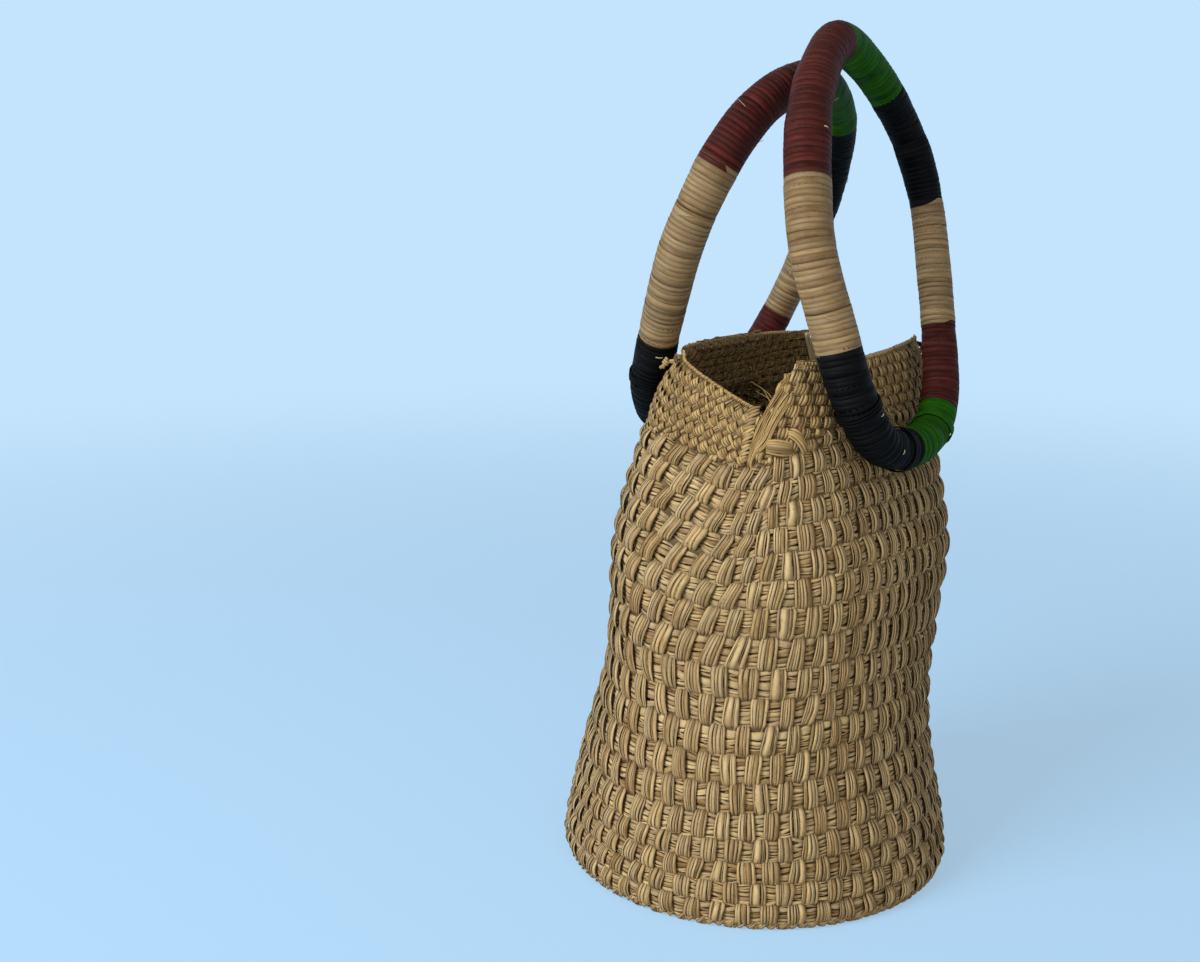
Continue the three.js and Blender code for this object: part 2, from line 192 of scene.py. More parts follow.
class StrandMesh:
    """Closed flat tubes carried along many paths at once, joined into one mesh.

    Each point keeps two attributes for the materials. "fibre" is its place across the strand from 0
    to 1, its distance along the strand in millimetres, and a random tone that belongs to the strand.
    The other is 1 where the strand dives under another one, and the materials darken the colour there as painted shade.
    """

    def __init__(self, name: str) -> None:
        """Starts an empty mesh of that name."""
        self.name = name
        self.points: list[Array] = []
        self.fibres: list[Array] = []
        self.under_shades: list[Array] = []
        self.faces: list[Array] = []
        self.count = 0

    def carry(
        self,
        path: Array,
        across: Array,
        width: Array | float,
        depth: Array | float,
        tone: Array,
        section: Array,
        closed: bool = False,
        under_shade: Array | float = 0.0,
    ) -> None:
        """Adds one tube per path: corner = path + width * x * across + depth * y * outwards.

        Outwards is square to both the path and "across".

        Args:
            path: strands by stations by 3.
            across: direction of the strand's width, same shape.
            width: strand width, one number or strands by stations.
            depth: strand thickness, likewise.
            tone: one random number per strand.
            section: corners by 2, as shares of width and depth.
            closed: True where the tube joins its own start.
            under_shade: how far a station is under other strands, from 0 to 1, likewise; it sets the painted shade
                there.
        """
        strands, stations, _ = path.shape
        along = tangents(path, closed)
        outwards = unit(np.cross(along, across))
        level = unit(np.cross(outwards, along))
        sizes = [np.broadcast_to(np.asarray(size, float), (strands, stations)) for size in (width, depth)]
        steps = [size[:, :, None, None] * section[:, axis][:, None] for axis, size in enumerate(sizes)]
        corners = path[:, :, None, :] + level[:, :, None, :] * steps[0] + outwards[:, :, None, :] * steps[1]
        moves = np.linalg.norm(np.diff(path, axis=1), axis=-1)
        travelled = np.concatenate([np.zeros((strands, 1)), np.cumsum(moves, axis=1)], axis=1)
        shape = corners.shape[:3]
        fibre = np.stack(
            [
                np.broadcast_to(section[:, 0] + 0.5, shape),
                np.broadcast_to(travelled[:, :, None], shape),
                np.broadcast_to(np.asarray(tone)[:, None, None], shape),
            ],
            axis=-1,
        )
        index = self.count + np.arange(strands * stations * len(section)).reshape(shape)
        here, ahead = (index, np.roll(index, -1, axis=1)) if closed else (index[:, :-1], index[:, 1:])
        quads = np.stack([here, np.roll(here, -1, axis=2), np.roll(ahead, -1, axis=2), ahead], axis=-1)
        self.points.append(corners.reshape(-1, 3))
        self.fibres.append(fibre.reshape(-1, 3))
        # Share of painted shade at each corner.
        under = np.broadcast_to(np.asarray(under_shade, float), (strands, stations))
        self.under_shades.append(np.broadcast_to(under[:, :, None], shape).ravel())
        self.faces.append(quads.reshape(-1, 4))
        if not closed:
            self.faces.append(index[:, 0, ::-1])
            self.faces.append(index[:, -1, :])
        self.count += index.size

    def write(self) -> Piece:
        """Makes the Blender object, its place in its mesh, in metres.

        Returns:
            The new object, linked to the scene, with smooth faces and the two attributes.
        """
        points = (np.concatenate(self.points) * MM).astype(np.float32)
        loops = np.concatenate([face.ravel() for face in self.faces]).astype(np.int32)
        counts = np.concatenate([np.full(len(face), face.shape[1]) for face in self.faces])
        starts = (np.cumsum(counts) - counts).astype(np.int32)
        mesh = bpy.data.meshes.new(self.name)
        mesh.vertices.add(len(points))
        mesh.vertices.foreach_set("co", points.ravel())
        mesh.loops.add(len(loops))
        mesh.loops.foreach_set("vertex_index", loops)
        mesh.polygons.add(len(starts))
        mesh.polygons.foreach_set("loop_start", starts)
        mesh.polygons.foreach_set("use_smooth", np.ones(len(starts), bool))
        mesh.update(calc_edges=True)
        mesh.validate()
        kept = (("fibre", "FLOAT_VECTOR", "vector", self.fibres), ("under_shade", "FLOAT", "value", self.under_shades))
        for name, kind, slot, values in kept:
            attribute = mesh.attributes.new(name, kind, "POINT")
            attribute.data.foreach_set(slot, np.concatenate(values).astype(np.float32).ravel())
        made = bpy.data.objects.new(self.name, mesh)
        bpy.context.scene.collection.objects.link(made)
        return made


@dataclass(frozen=True)
class WallShape:
    """Outer face of the wall and collar: a rounded square that starts as a circle and leans."""

    heights: tuple[float, ...] = (0, 10, 35, 70, 105, 140, 175, 205, 230, 252, 266, 278)
    leans: tuple[float, ...] = (0, 0, 0.5, 1.5, 5.5, 9, 12, 13, 14.5, 16, 18, 20.5)
    half_x: tuple[float, ...] = (104, 105, 100, 91.5, 85, 85.5, 88.5, 87, 84.5, 80, 75, 70)
    half_y: tuple[float, ...] = (104, 105, 100, 91.5, 85, 82.5, 80.5, 72, 62.5, 54, 48.5, 41.5)
    square: tuple[float, ...] = (2.0, 2.0, 2.05, 2.15, 2.3, 2.5, 2.7, 2.9, 3.2, 3.7, 4.4, 5.0)
    lean_heading: float = -59.0
    seam_bearing: float = 31.0
    step_bearing: float = 0.4
    step_height: float = 1.0
    table_heights: tuple[float, float] = (-6.0, 290.0)
    table_rows: int = 75
    table_bearings: int = 1441
    table_columns: int = 721

    def row_value(self, row: tuple[float, ...], height: Array) -> Array:
        """Cubic through the rows, with the slope at a row taken from its two neighbours.

        Args:
            row: one value per entry of "heights".
            height: where to read it.

        Returns:
            The values there.
        """
        levels = np.array(self.heights)
        values = np.array(row, float)
        last = len(levels) - 1
        before = np.maximum(np.arange(last + 1) - 1, 0)
        after = np.minimum(np.arange(last + 1) + 1, last)
        slopes = (values[after] - values[before]) / (levels[after] - levels[before])
        i = np.clip(np.searchsorted(levels, height, side="left") - 1, 0, last - 1)
        span = levels[i + 1] - levels[i]
        t = np.clip((height - levels[i]) / span, 0.0, 1.0)
        rise = values[i + 1] - values[i]
        bend = (t - 1.0) * (slopes[i] * span - rise) + t * (slopes[i + 1] * span - rise)
        return values[i] + t * rise + t * (t - 1.0) * bend

    def point(self, height: Array, bearing: Array, inset: float = 0.0) -> Array:
        """Point of the face: reach = (|c / a|^p + |s / b|^p)^(-1/p) from the leaning centre.

        Args:
            height: millimetres above the ground.
            bearing: degrees about the centre of the section.
            inset: how far the face is moved inwards.

        Returns:
            Points, with a last axis of 3.
        """
        height, bearing = np.broadcast_arrays(np.asarray(height, float), np.asarray(bearing, float))
        lean = self.row_value(self.leans, height)
        a = self.row_value(self.half_x, height) - inset
        b = self.row_value(self.half_y, height) - inset
        power = self.row_value(self.square, height)
        c = np.cos(np.radians(bearing))
        s = np.sin(np.radians(bearing))
        reach = (np.abs(c / a) ** power + np.abs(s / b) ** power) ** (-1.0 / power)
        heading = math.radians(self.lean_heading)
        x = lean * math.cos(heading) + reach * c
        y = lean * math.sin(heading) + reach * s
        return np.stack([x, y, height], axis=-1)

    def frame(self, height: Array, bearing: Array) -> tuple[Array, Array, Array]:
        """Point of the face with its level direction and its outward direction.

        The outward direction is the cross product of a small step along the bearing and one up.

        Args:
            height: millimetres above the ground.
            bearing: degrees about the centre of the section.

        Returns:
            Points, unit level directions and unit outward directions.
        """
        height, bearing = np.asarray(height), np.asarray(bearing)
        aside, above = self.step_bearing, self.step_height
        level = unit(self.point(height, bearing + aside) - self.point(height, bearing - aside))
        up = self.point(height + above, bearing) - self.point(height - above, bearing)
        return self.point(height, bearing), level, unit(np.cross(level, up))

    def places(self, field: "WeaveField") -> "PlaceTable":
        """Table that turns a count of bundles into a bearing, at any height.

        Each small step of the way round counts as its length times the crowding there.

        Args:
            field: where the bundles stand close and where they stand apart.

        Returns:
            The table.
        """
        levels = np.linspace(*self.table_heights, self.table_rows)
        bearings = self.seam_bearing + np.linspace(0.0, 360.0, self.table_bearings)
        ring = self.point(levels[:, None], bearings[None, :])
        steps = np.linalg.norm(np.diff(ring, axis=1), axis=-1)
        steps = steps * field.crowding(levels[:, None], 0.5 * (bearings[None, 1:] + bearings[None, :-1]))
        way = np.concatenate([np.zeros((len(levels), 1)), np.cumsum(steps, axis=1)], axis=1)
        even = np.linspace(0.0, 1.0, self.table_columns)
        return PlaceTable(levels, np.array([np.interp(even, row / row[-1], bearings) for row in way]))


@dataclass(frozen=True)
class WeaveField:
    """How the coarse weave runs: its rows dip at the slits and its bundles crowd beside them.

    Both grids have one column per bearing of one half of the bag; the other half repeats them.
    """

    columns: tuple[float, ...] = (140, 162, 175, 190, 200, 208, 216, 225, 240, 262, 300)
    lift_levels: tuple[float, ...] = (15, 50, 150, 178, 200, 225)
    lifts: tuple[tuple[float, ...], ...] = (
        (0, 0, 0, 0, 0, 0, 0, 0, 0, 0, 0),
        (-2, -4, -4, -3.5, -2.5, -1.5, -0.5, 1, 3, 3, 1),
        (0, -2.5, -3, -2.5, -2, -1, -0.5, 1, 4, 4, 2),
        (2, -2, -5, -7, -4, -2, -0.5, 1, 4, 4, 3),
        (4, 0, -4, -8, -6, -2, -0.5, 1.5, 4, 4, 3),
        (5, 1.5, -3.5, -9, -8.5, -3, 0, 2, 5, 4, 4),
    )
    crowd_levels: tuple[float, ...] = (60, 130, 165, 200)
    crowds: tuple[tuple[float, ...], ...] = (
        (98, 98, 98, 98, 98, 98, 98, 98, 98, 98, 98),
        (90, 72, 70, 70, 68, 70, 80, 102, 120, 122, 122),
        (88, 68, 68, 73, 94, 98, 78, 102, 118, 122, 122),
        (88, 73, 72, 74, 130, 126, 78, 106, 114, 122, 122),
    )
    slants: tuple[float, ...] = (0.5, 2.0, 2.0, 1.7, 1.0, 0.2, -0.4, -1.0, -1.2, -0.8, 0)
    slant_share_below: float = 0.1
    slant_from: float = 160.0
    slant_over: float = 50.0
    edges: tuple[float, ...] = (246, 241.5, 236, 231, 231, 237, 242.5, 246, 248.5, 248, 247)

    def read(
        self, levels: tuple[float, ...], grid: tuple[tuple[float, ...], ...], height: Array, bearing: Array
    ) -> Array:
        """Value of a grid: eased between its columns, straight between its levels.

        Args:
            levels: height of each row of the grid.
            grid: the rows.
            height: millimetres above the ground.
            bearing: degrees about the centre of the section.

        Returns:
            The values there.
        """
        height, bearing = np.broadcast_arrays(np.asarray(height, float), np.asarray(bearing, float))
        marks = np.array([*self.columns, self.columns[0] + 180.0])
        values = np.array(grid, float)
        values = np.concatenate([values, values[:, :1]], axis=1)
        turned = (bearing - marks[0]) % 180.0 + marks[0]
        i = np.clip(np.searchsorted(marks, turned, side="right") - 1, 0, len(marks) - 2)
        u = smooth((turned - marks[i]) / (marks[i + 1] - marks[i]))
        row, on = row_under(height, levels)
        return among(values, row, i, on, u)

    def read_row(self, row: tuple[float, ...], bearing: Array) -> Array:
        """Value at a bearing of a row that holds at every height."""
        return self.read((0, 1), (row, row), np.zeros_like(bearing), bearing)

    def lift(self, height: Array, bearing: Array) -> Array:
        """How far a row stands above its own level at a bearing."""
        return self.read(self.lift_levels, self.lifts, height, bearing)

    def slant(self, height: Array, bearing: Array) -> Array:
        """Sideways swing of an upright bundle as it passes over a row, growing up the bag."""
        below = self.slant_share_below
        grown = below + (1.0 - below) * smooth((height - self.slant_from) / self.slant_over)
        return grown * self.read_row(self.slants, bearing)

    def edge(self, bearing: Array) -> Array:
        """Height at which the coarse weave gives way to the fine one."""
        return self.read_row(self.edges, bearing)

    def crowding(self, height: Array, bearing: Array) -> Array:
        """Bundles per whole turn, if they all stood as close as they do at a bearing."""
        return self.read(self.crowd_levels, self.crowds, height, bearing)


@dataclass(frozen=True)
class PlaceTable:
    """Bearings at even counts of bundles, one row per height."""

    levels: Array
    bearings: Array

    def bearing(self, height: Array, share: Array) -> Array:
        """Bearing at a share of all the bundles, read between the nearest rows and columns.

        Args:
            height: millimetres above the ground.
            share: bundles counted from the seam, over their number.

        Returns:
            Bearings in degrees.
        """
        whole = np.floor(share)
        place = (share - whole) * (self.bearings.shape[1] - 1)
        column = np.minimum(place.astype(int), self.bearings.shape[1] - 2)
        row, on = row_under(height, self.levels)
        return among(self.bearings, row, column, on, place - column) + 360.0 * whole


SHAPE = WallShape()
FIELD = WeaveField()
PLACES = SHAPE.places(FIELD)


def spot(height: float, bearing: float) -> tuple[Array, Array, Array]:
    """One place of the face, with its level and its outward direction, each 1 by 3."""
    return SHAPE.frame(np.array([height]), np.array([bearing]))


@dataclass(frozen=True)
class BundleLay:
    """How the strands of one bundle lie side by side, and how far the bundle goes in and out."""

    strands: int
    over: float
    under: float
    crown: float
    narrow: float
    depth: float
    seat: float
    cover: float = 1.12
    uneven: float = 0.3
    drift: float = 0.2
    jitter: float = 0.1
    bow: float = 0.5

    def lay(
        self,
        mesh: StrandMesh,
        rng: np.random.Generator,
        centre: Array,
        across: Array,
        out: Array,
        wave: Array,
        span: Array,
        place: Array,
        section: Array,
        closed: bool = False,
    ) -> None:
        """Adds the strands of many bundles at once.

        Side = width * own place + drift, where the width is the span, narrowed where the wave is
        low. Lift = over * wave^0.7 above and under * wave below, less the crown towards both sides,
        and the outer strands turn their faces outwards, which makes the bundle plump.

        Args:
            mesh: where the strands go.
            rng: source of the random widths, drifts and tones.
            centre: bundles by stations by 3, on the face.
            across: direction of the bundle's width, same shape.
            out: outward direction, same shape.
            wave: from 1 where the bundle is outermost to -1 where it is innermost.
            span: width of the bundle at its widest.
            place: stations in crossings, for the drifts.
            section: corners of one strand.
            closed: True where the bundle joins its own start.
        """
        count = len(centre)
        shares = np.exp(rng.normal(0.0, self.uneven, (count, self.strands)))
        shares = shares / shares.sum(axis=1, keepdims=True)
        places = np.cumsum(shares, axis=1) - 0.5 * shares - 0.5
        full = span * (self.narrow + (1.0 - self.narrow) * smooth((wave + 1.0) / 1.5))
        above = np.clip(wave, 0.0, 1.0)
        rise = self.over * above**0.7 - self.under * np.clip(-wave, 0.0, 1.0)
        # Painted shade where the strand dives: none where it lies outermost or innermost, most part way down.
        under_shade = smooth((0.35 - wave) / 0.6) * smooth((wave + 0.8) / 0.5)
        for k in range(self.strands):
            own = places[:, k : k + 1]
            sideways = full * own + wander(rng, count, place, self.drift, closed)
            lift = rise - self.crown * (2.0 * own) ** 2 * above - self.seat
            lift = lift + wander(rng, count, place, self.jitter, closed)
            tilt = unit(across - out * (self.bow * 2.0 * own * above)[..., None])
            path = centre + across * sideways[..., None] + out * lift[..., None]
            wide = full * shares[:, k : k + 1] * self.cover
            deep = np.minimum(self.depth, 0.75 * wide)
            mesh.carry(path, tilt, wide, deep, rng.random(count), section, closed, under_shade)


def linear(red: int, green: int, blue: int) -> tuple[float, float, float, float]:
    """Linear colour of a display colour given from 0 to 255."""
    parts = [value / 255.0 for value in (red, green, blue)]
    lit = [c / 12.92 if c <= 0.04045 else ((c + 0.055) / 1.055) ** 2.4 for c in parts]
    return (*lit, 1.0)


def wire(tree: Tree, source: Socket | float | tuple[float, ...], target: Socket) -> None:
    """Links one socket to another, or gives the second one a value of its own."""
    if isinstance(source, Socket):
        tree.links.new(source, target)
    else:
        target.default_value = source


def maths(tree: Tree, operation: str, *values: Socket | float) -> Socket:
    """Adds a Math node.

    Args:
        tree: where it goes.
        operation: name of the Math node's operation.
        values: sockets or numbers for its inputs.

    Returns:
        Its output socket.
    """
    node = tree.nodes.new("ShaderNodeMath")
    node.operation = operation
    for place, value in zip(node.inputs, values):
        wire(tree, value, place)
    return node.outputs[0]


def blended(
    tree: Tree, share: Socket, first: Socket | tuple[float, ...], second: Socket | tuple[float, ...]
) -> Socket:
    """Adds a colour Mix node.

    Args:
        tree: where it goes.
        share: amount of the second colour.
        first: socket or value of the first colour.
        second: socket or value of the second colour.

    Returns:
        The mixed colour's socket.
    """
    node = tree.nodes.new("ShaderNodeMix")
    node.data_type = "RGBA"
    for place, value in ((0, share), (6, first), (7, second)):
        wire(tree, value, node.inputs[place])
    return node.outputs[2]


def noise(tree: Tree, place: Socket, scale: float, detail: float) -> Socket:
    """Adds a Noise texture read at a vector, and returns its value from 0 to 1."""
    node = tree.nodes.new("ShaderNodeTexNoise")
    for name, value in (("Scale", scale), ("Detail", detail), ("Vector", place)):
        wire(tree, value, node.inputs[name])
    return node.outputs["Fac"]


def bumped(tree: Tree, height: Socket, strength: float, distance: float, target: Socket) -> None:
    """Feeds a height through a Bump node to a shader's normal. The distance is in millimetres."""
    bump = tree.nodes.new("ShaderNodeBump")
    for name, value in (("Strength", strength), ("Distance", distance * MM), ("Height", height)):
        wire(tree, value, bump.inputs[name])
    wire(tree, bump.outputs["Normal"], target)


def new_material(name: str) -> tuple[bpy.types.Material, Tree, bpy.types.NodeInputs]:
    """New node material, its tree and the inputs of its Principled shader."""
    made = bpy.data.materials.new(name)
    made.use_nodes = True
    return made, made.node_tree, made.node_tree.nodes["Principled BSDF"].inputs


class FibreGroup:
    """Shared effect: streaked, blotched and worn raffia from the fibre attribute, with painted shade at strand edges
    and where strands pass under others.
    """

    NAME = "raffia_fibres"
    STREAK = (9.0, 0.045, 57.0)
    BLOTCH = (0.6, 0.11, 131.0)
    DASH = (3.0, 0.5, 211.0)
    SOCKETS = (
        ("INPUT", "NodeSocketVector", ("Fibre",)),
        ("INPUT", "NodeSocketColor", ("Deep", "Pale", "Grey", "Painted Shade")),
        ("INPUT", "NodeSocketFloat", ("Under Shade", "Spread", "Streaks", "Edge Shade")),
        ("OUTPUT", "NodeSocketColor", ("Color",)),
        ("OUTPUT", "NodeSocketFloat", ("Roughness", "Height")),
    )

    def __init__(self) -> None:
        """Builds the group once, with its named sockets."""
        self.tree = bpy.data.node_groups.new(self.NAME, "ShaderNodeTree")
        for side, kind, names in self.SOCKETS:
            for name in names:
                self.tree.interface.new_socket(name, in_out=side, socket_type=kind)
        self._fill()

    def _fill(self) -> None:
        """Adds the nodes: strand tone, streaks, slow blotches, flecks, and painted shade at the edges and under other
        strands.
        """
        tree = self.tree
        add = partial(maths, tree)
        given = tree.nodes.new("NodeGroupInput").outputs
        parts = tree.nodes.new("ShaderNodeSeparateXYZ")
        wire(tree, given["Fibre"], parts.inputs[0])
        across, _, tone = parts.outputs
        dice = tree.nodes.new("ShaderNodeTexWhiteNoise")
        dice.noise_dimensions = "1D"
        wire(tree, add("MULTIPLY", tone, 917.0), dice.inputs["W"])
        streak = self._grain(parts.outputs, self.STREAK, 4.0)
        blotch = self._grain(parts.outputs, self.BLOTCH, 2.0)
        dash = self._grain(parts.outputs, self.DASH, 2.0)
        swing = self._about(dice.outputs["Value"], 0.5, given["Spread"])
        lines = self._about(streak, 0.5, given["Streaks"])
        level = add("ADD", add("ADD", swing, lines), add("ADD", self._about(blotch, 0.5, 1.3), 0.5))
        ranged = add("MINIMUM", add("MAXIMUM", level, 0.0), 1.0)
        straw = blended(tree, ranged, given["Deep"], given["Pale"])
        split = tree.nodes.new("ShaderNodeSeparateColor")
        wire(tree, dice.outputs["Color"], split.inputs[0])
        aged = add("MULTIPLY", add("POWER", split.outputs[1], 2.0), 0.75)
        faded = blended(tree, aged, straw, given["Grey"])
        flecks = add("MULTIPLY", add("GREATER_THAN", dash, 0.66), 0.35)
        worn = blended(tree, flecks, faded, given["Deep"])
        # Painted shade: towards the shade colour at the strand's edges, in blotches, and where the strand passes under
        # others.
        off_middle = add("MULTIPLY", add("ABSOLUTE", add("SUBTRACT", across, 0.5)), 2.0)
        rim = add("MULTIPLY", add("POWER", off_middle, 5.0), given["Edge Shade"])
        edge = add("MULTIPLY", rim, self._about(blotch, 0.36, 4.5))
        shaded = add("MULTIPLY", add("ADD", add("MULTIPLY", streak, 0.6), 0.35), given["Under Shade"])
        shade_share = add("MINIMUM", add("MAXIMUM", edge, shaded), 0.9)
        result = tree.nodes.new("NodeGroupOutput").inputs
        wire(tree, blended(tree, shade_share, worn, given["Painted Shade"]), result["Color"])
        wire(tree, add("ADD", add("MULTIPLY", streak, 0.3), 0.42), result["Roughness"])
        wire(tree, add("ADD", streak, add("MULTIPLY", dash, 0.4)), result["Height"])

    def _about(self, value: Socket, middle: float, factor: Socket | float) -> Socket:
        """How far a value is from a middle, times a factor."""
        return maths(self.tree, "MULTIPLY", maths(self.tree, "SUBTRACT", value, middle), factor)

    def _grain(self, fibre: bpy.types.NodeOutputs, scales: tuple[float, float, float], detail: float) -> Socket:
        """Noise with a scale across the strand, one along it and a jump from strand to strand."""
        joined = self.tree.nodes.new("ShaderNodeCombineXYZ")
        for value, factor, place in zip(fibre, scales, joined.inputs):
            wire(self.tree, maths(self.tree, "MULTIPLY", value, factor), place)
        return noise(self.tree, joined.outputs[0], 1.0, detail)


@dataclass(frozen=True)
class StrandFinish:
    """Look of raffia in one colour, from darkest to palest fibre."""

    dye: Dye
    deep: tuple[int, int, int]
    pale: tuple[int, int, int]
    grey: tuple[int, int, int]
    # Colour of the painted shade at strand edges and under other strands.
    painted_shade: tuple[int, int, int]
    spread: float = 0.6
    streaks: float = 0.9
    # How strongly the strand edges take the painted shade.
    edge_shade: float = 1.0
    relief: float = 0.5
    gloss: float = 0.35

    def material(self, fibres: FibreGroup) -> bpy.types.Material:
        """Material with the shared fibre group feeding colour, roughness and bump.

        Args:
            fibres: the shared group.

        Returns:
            The new material.
        """
        made, tree, shader = new_material(f"raffia_{self.dye.value}")
        shader["Specular IOR Level"].default_value = self.gloss
        group = tree.nodes.new("ShaderNodeGroup")
        group.node_tree = fibres.tree
        for name, output, socket in (("fibre", "Vector", "Fibre"), ("under_shade", "Fac", "Under Shade")):
            read = tree.nodes.new("ShaderNodeAttribute")
            read.attribute_name = name
            wire(tree, read.outputs[output], group.inputs[socket])
        colours = (("Deep", self.deep), ("Pale", self.pale), ("Grey", self.grey), ("Painted Shade", self.painted_shade))
        for name, colour in colours:
            group.inputs[name].default_value = linear(*colour)
        for name, value in (("Spread", self.spread), ("Streaks", self.streaks), ("Edge Shade", self.edge_shade)):
            group.inputs[name].default_value = value
        wire(tree, group.outputs["Color"], shader["Base Color"])
        wire(tree, group.outputs["Roughness"], shader["Roughness"])
        bumped(tree, group.outputs["Height"], self.relief, 0.2, shader["Normal"])
        return made


@dataclass(frozen=True)
class CaneFinish:
    """Look of the bent cane inside the handles: fibrous, with darker patches."""

    dark: tuple[int, int, int] = (58, 42, 24)
    light: tuple[int, int, int] = (124, 96, 58)

    def material(self) -> bpy.types.Material:
        """Material on Object coordinates, because the frame's own solids have no attribute."""
        made, tree, shader = new_material("bent_cane")
        place = tree.nodes.new("ShaderNodeTexCoord").outputs["Object"]
        patches = noise(tree, place, 160.0, 3.0)
        fibres = noise(tree, place, 900.0, 5.0)
        wire(tree, blended(tree, patches, linear(*self.dark), linear(*self.light)), shader["Base Color"])
        wire(tree, maths(tree, "ADD", maths(tree, "MULTIPLY", fibres, 0.4), 0.5), shader["Roughness"])
        bumped(tree, fibres, 0.6, 0.3, shader["Normal"])
        return made


# The fourth colour of each finish is that of the painted shade at strand edges and under other strands.
FINISHES = (
    StrandFinish(
        Dye.WEAVE, (118, 84, 40), (220, 192, 138), (184, 166, 130), (50, 34, 15), spread=0.85, edge_shade=2.2, gloss=0.16
    ),
    StrandFinish(
        Dye.FINE, (106, 74, 34), (212, 180, 121), (170, 150, 111), (48, 33, 14), spread=0.85, edge_shade=2.2, gloss=0.16
    ),
    StrandFinish(Dye.HEM, (176, 150, 104), (220, 202, 162), (196, 184, 154), (70, 52, 26)),
    StrandFinish(Dye.NATURAL, (104, 76, 41), (164, 139, 97), (143, 126, 95), (40, 27, 12), edge_shade=0.7),
    StrandFinish(Dye.GREEN, (5, 46, 0), (40, 110, 3), (34, 82, 9), (3, 16, 1), spread=0.5, edge_shade=0.6, gloss=0.07),
    StrandFinish(Dye.BLACK, (2, 2, 2), (8, 7, 7), (18, 17, 17), (1, 1, 1), spread=0.5, edge_shade=0.4, gloss=0.07),
    StrandFinish(Dye.BROWN, (37, 12, 10), (92, 38, 32), (76, 37, 32), (10, 3, 3), spread=0.5, edge_shade=0.6, gloss=0.09),
)


class Palette:
    """The materials, each built once, by dye."""

    def __init__(self) -> None:
        """Builds the shared group and every finish."""
        fibres = FibreGroup()
        self.materials = {finish.dye: finish.material(fibres) for finish in FINISHES}
        self.materials[Dye.CANE] = CaneFinish().material()

    def dress(self, piece: Piece, dye: Dye) -> Piece:
        """Gives a new piece its material.

        Args:
            piece: the object to dress.
            dye: which finish.

        Returns:
            The same object.
        """
        piece.data.materials.clear()
        piece.data.materials.append(self.materials[dye])
        return piece


class Maker:
    """What the makers of pieces share: random numbers of their own and single strands."""

    seed: int

    def __post_init__(self) -> None:
        """Seeds the maker's own random numbers."""
        self.rng = np.random.default_rng(self.seed)

    def drift(self, place: Array, size: float, closed: bool = False) -> Array:
        """One random drift along the places."""
        return wander(self.rng, 1, place, size, closed)[0]

    def strand(
        self,
        mesh: StrandMesh,
        path: Array,
        across: Array,
        width: Array | float,
        depth: float,
        section: Array,
        closed: bool = False,
        under_shade: float = 0.0,
    ) -> None:
        """Adds one strand with a random tone of its own.

        Args:
            mesh: where it goes.
            path: stations by 3.
            across: direction of its width, one for all stations or one for each.
            width: strand width, likewise.
            depth: strand thickness.
            section: corners by 2, as shares of width and depth.
            closed: True where the strand joins its own start.
            under_shade: how far it is under other strands, which sets its painted shade.
        """
        level = np.broadcast_to(across, path.shape)[None]
        mesh.carry(path[None], level, width, depth, self.rng.random(1), section, closed, under_shade)


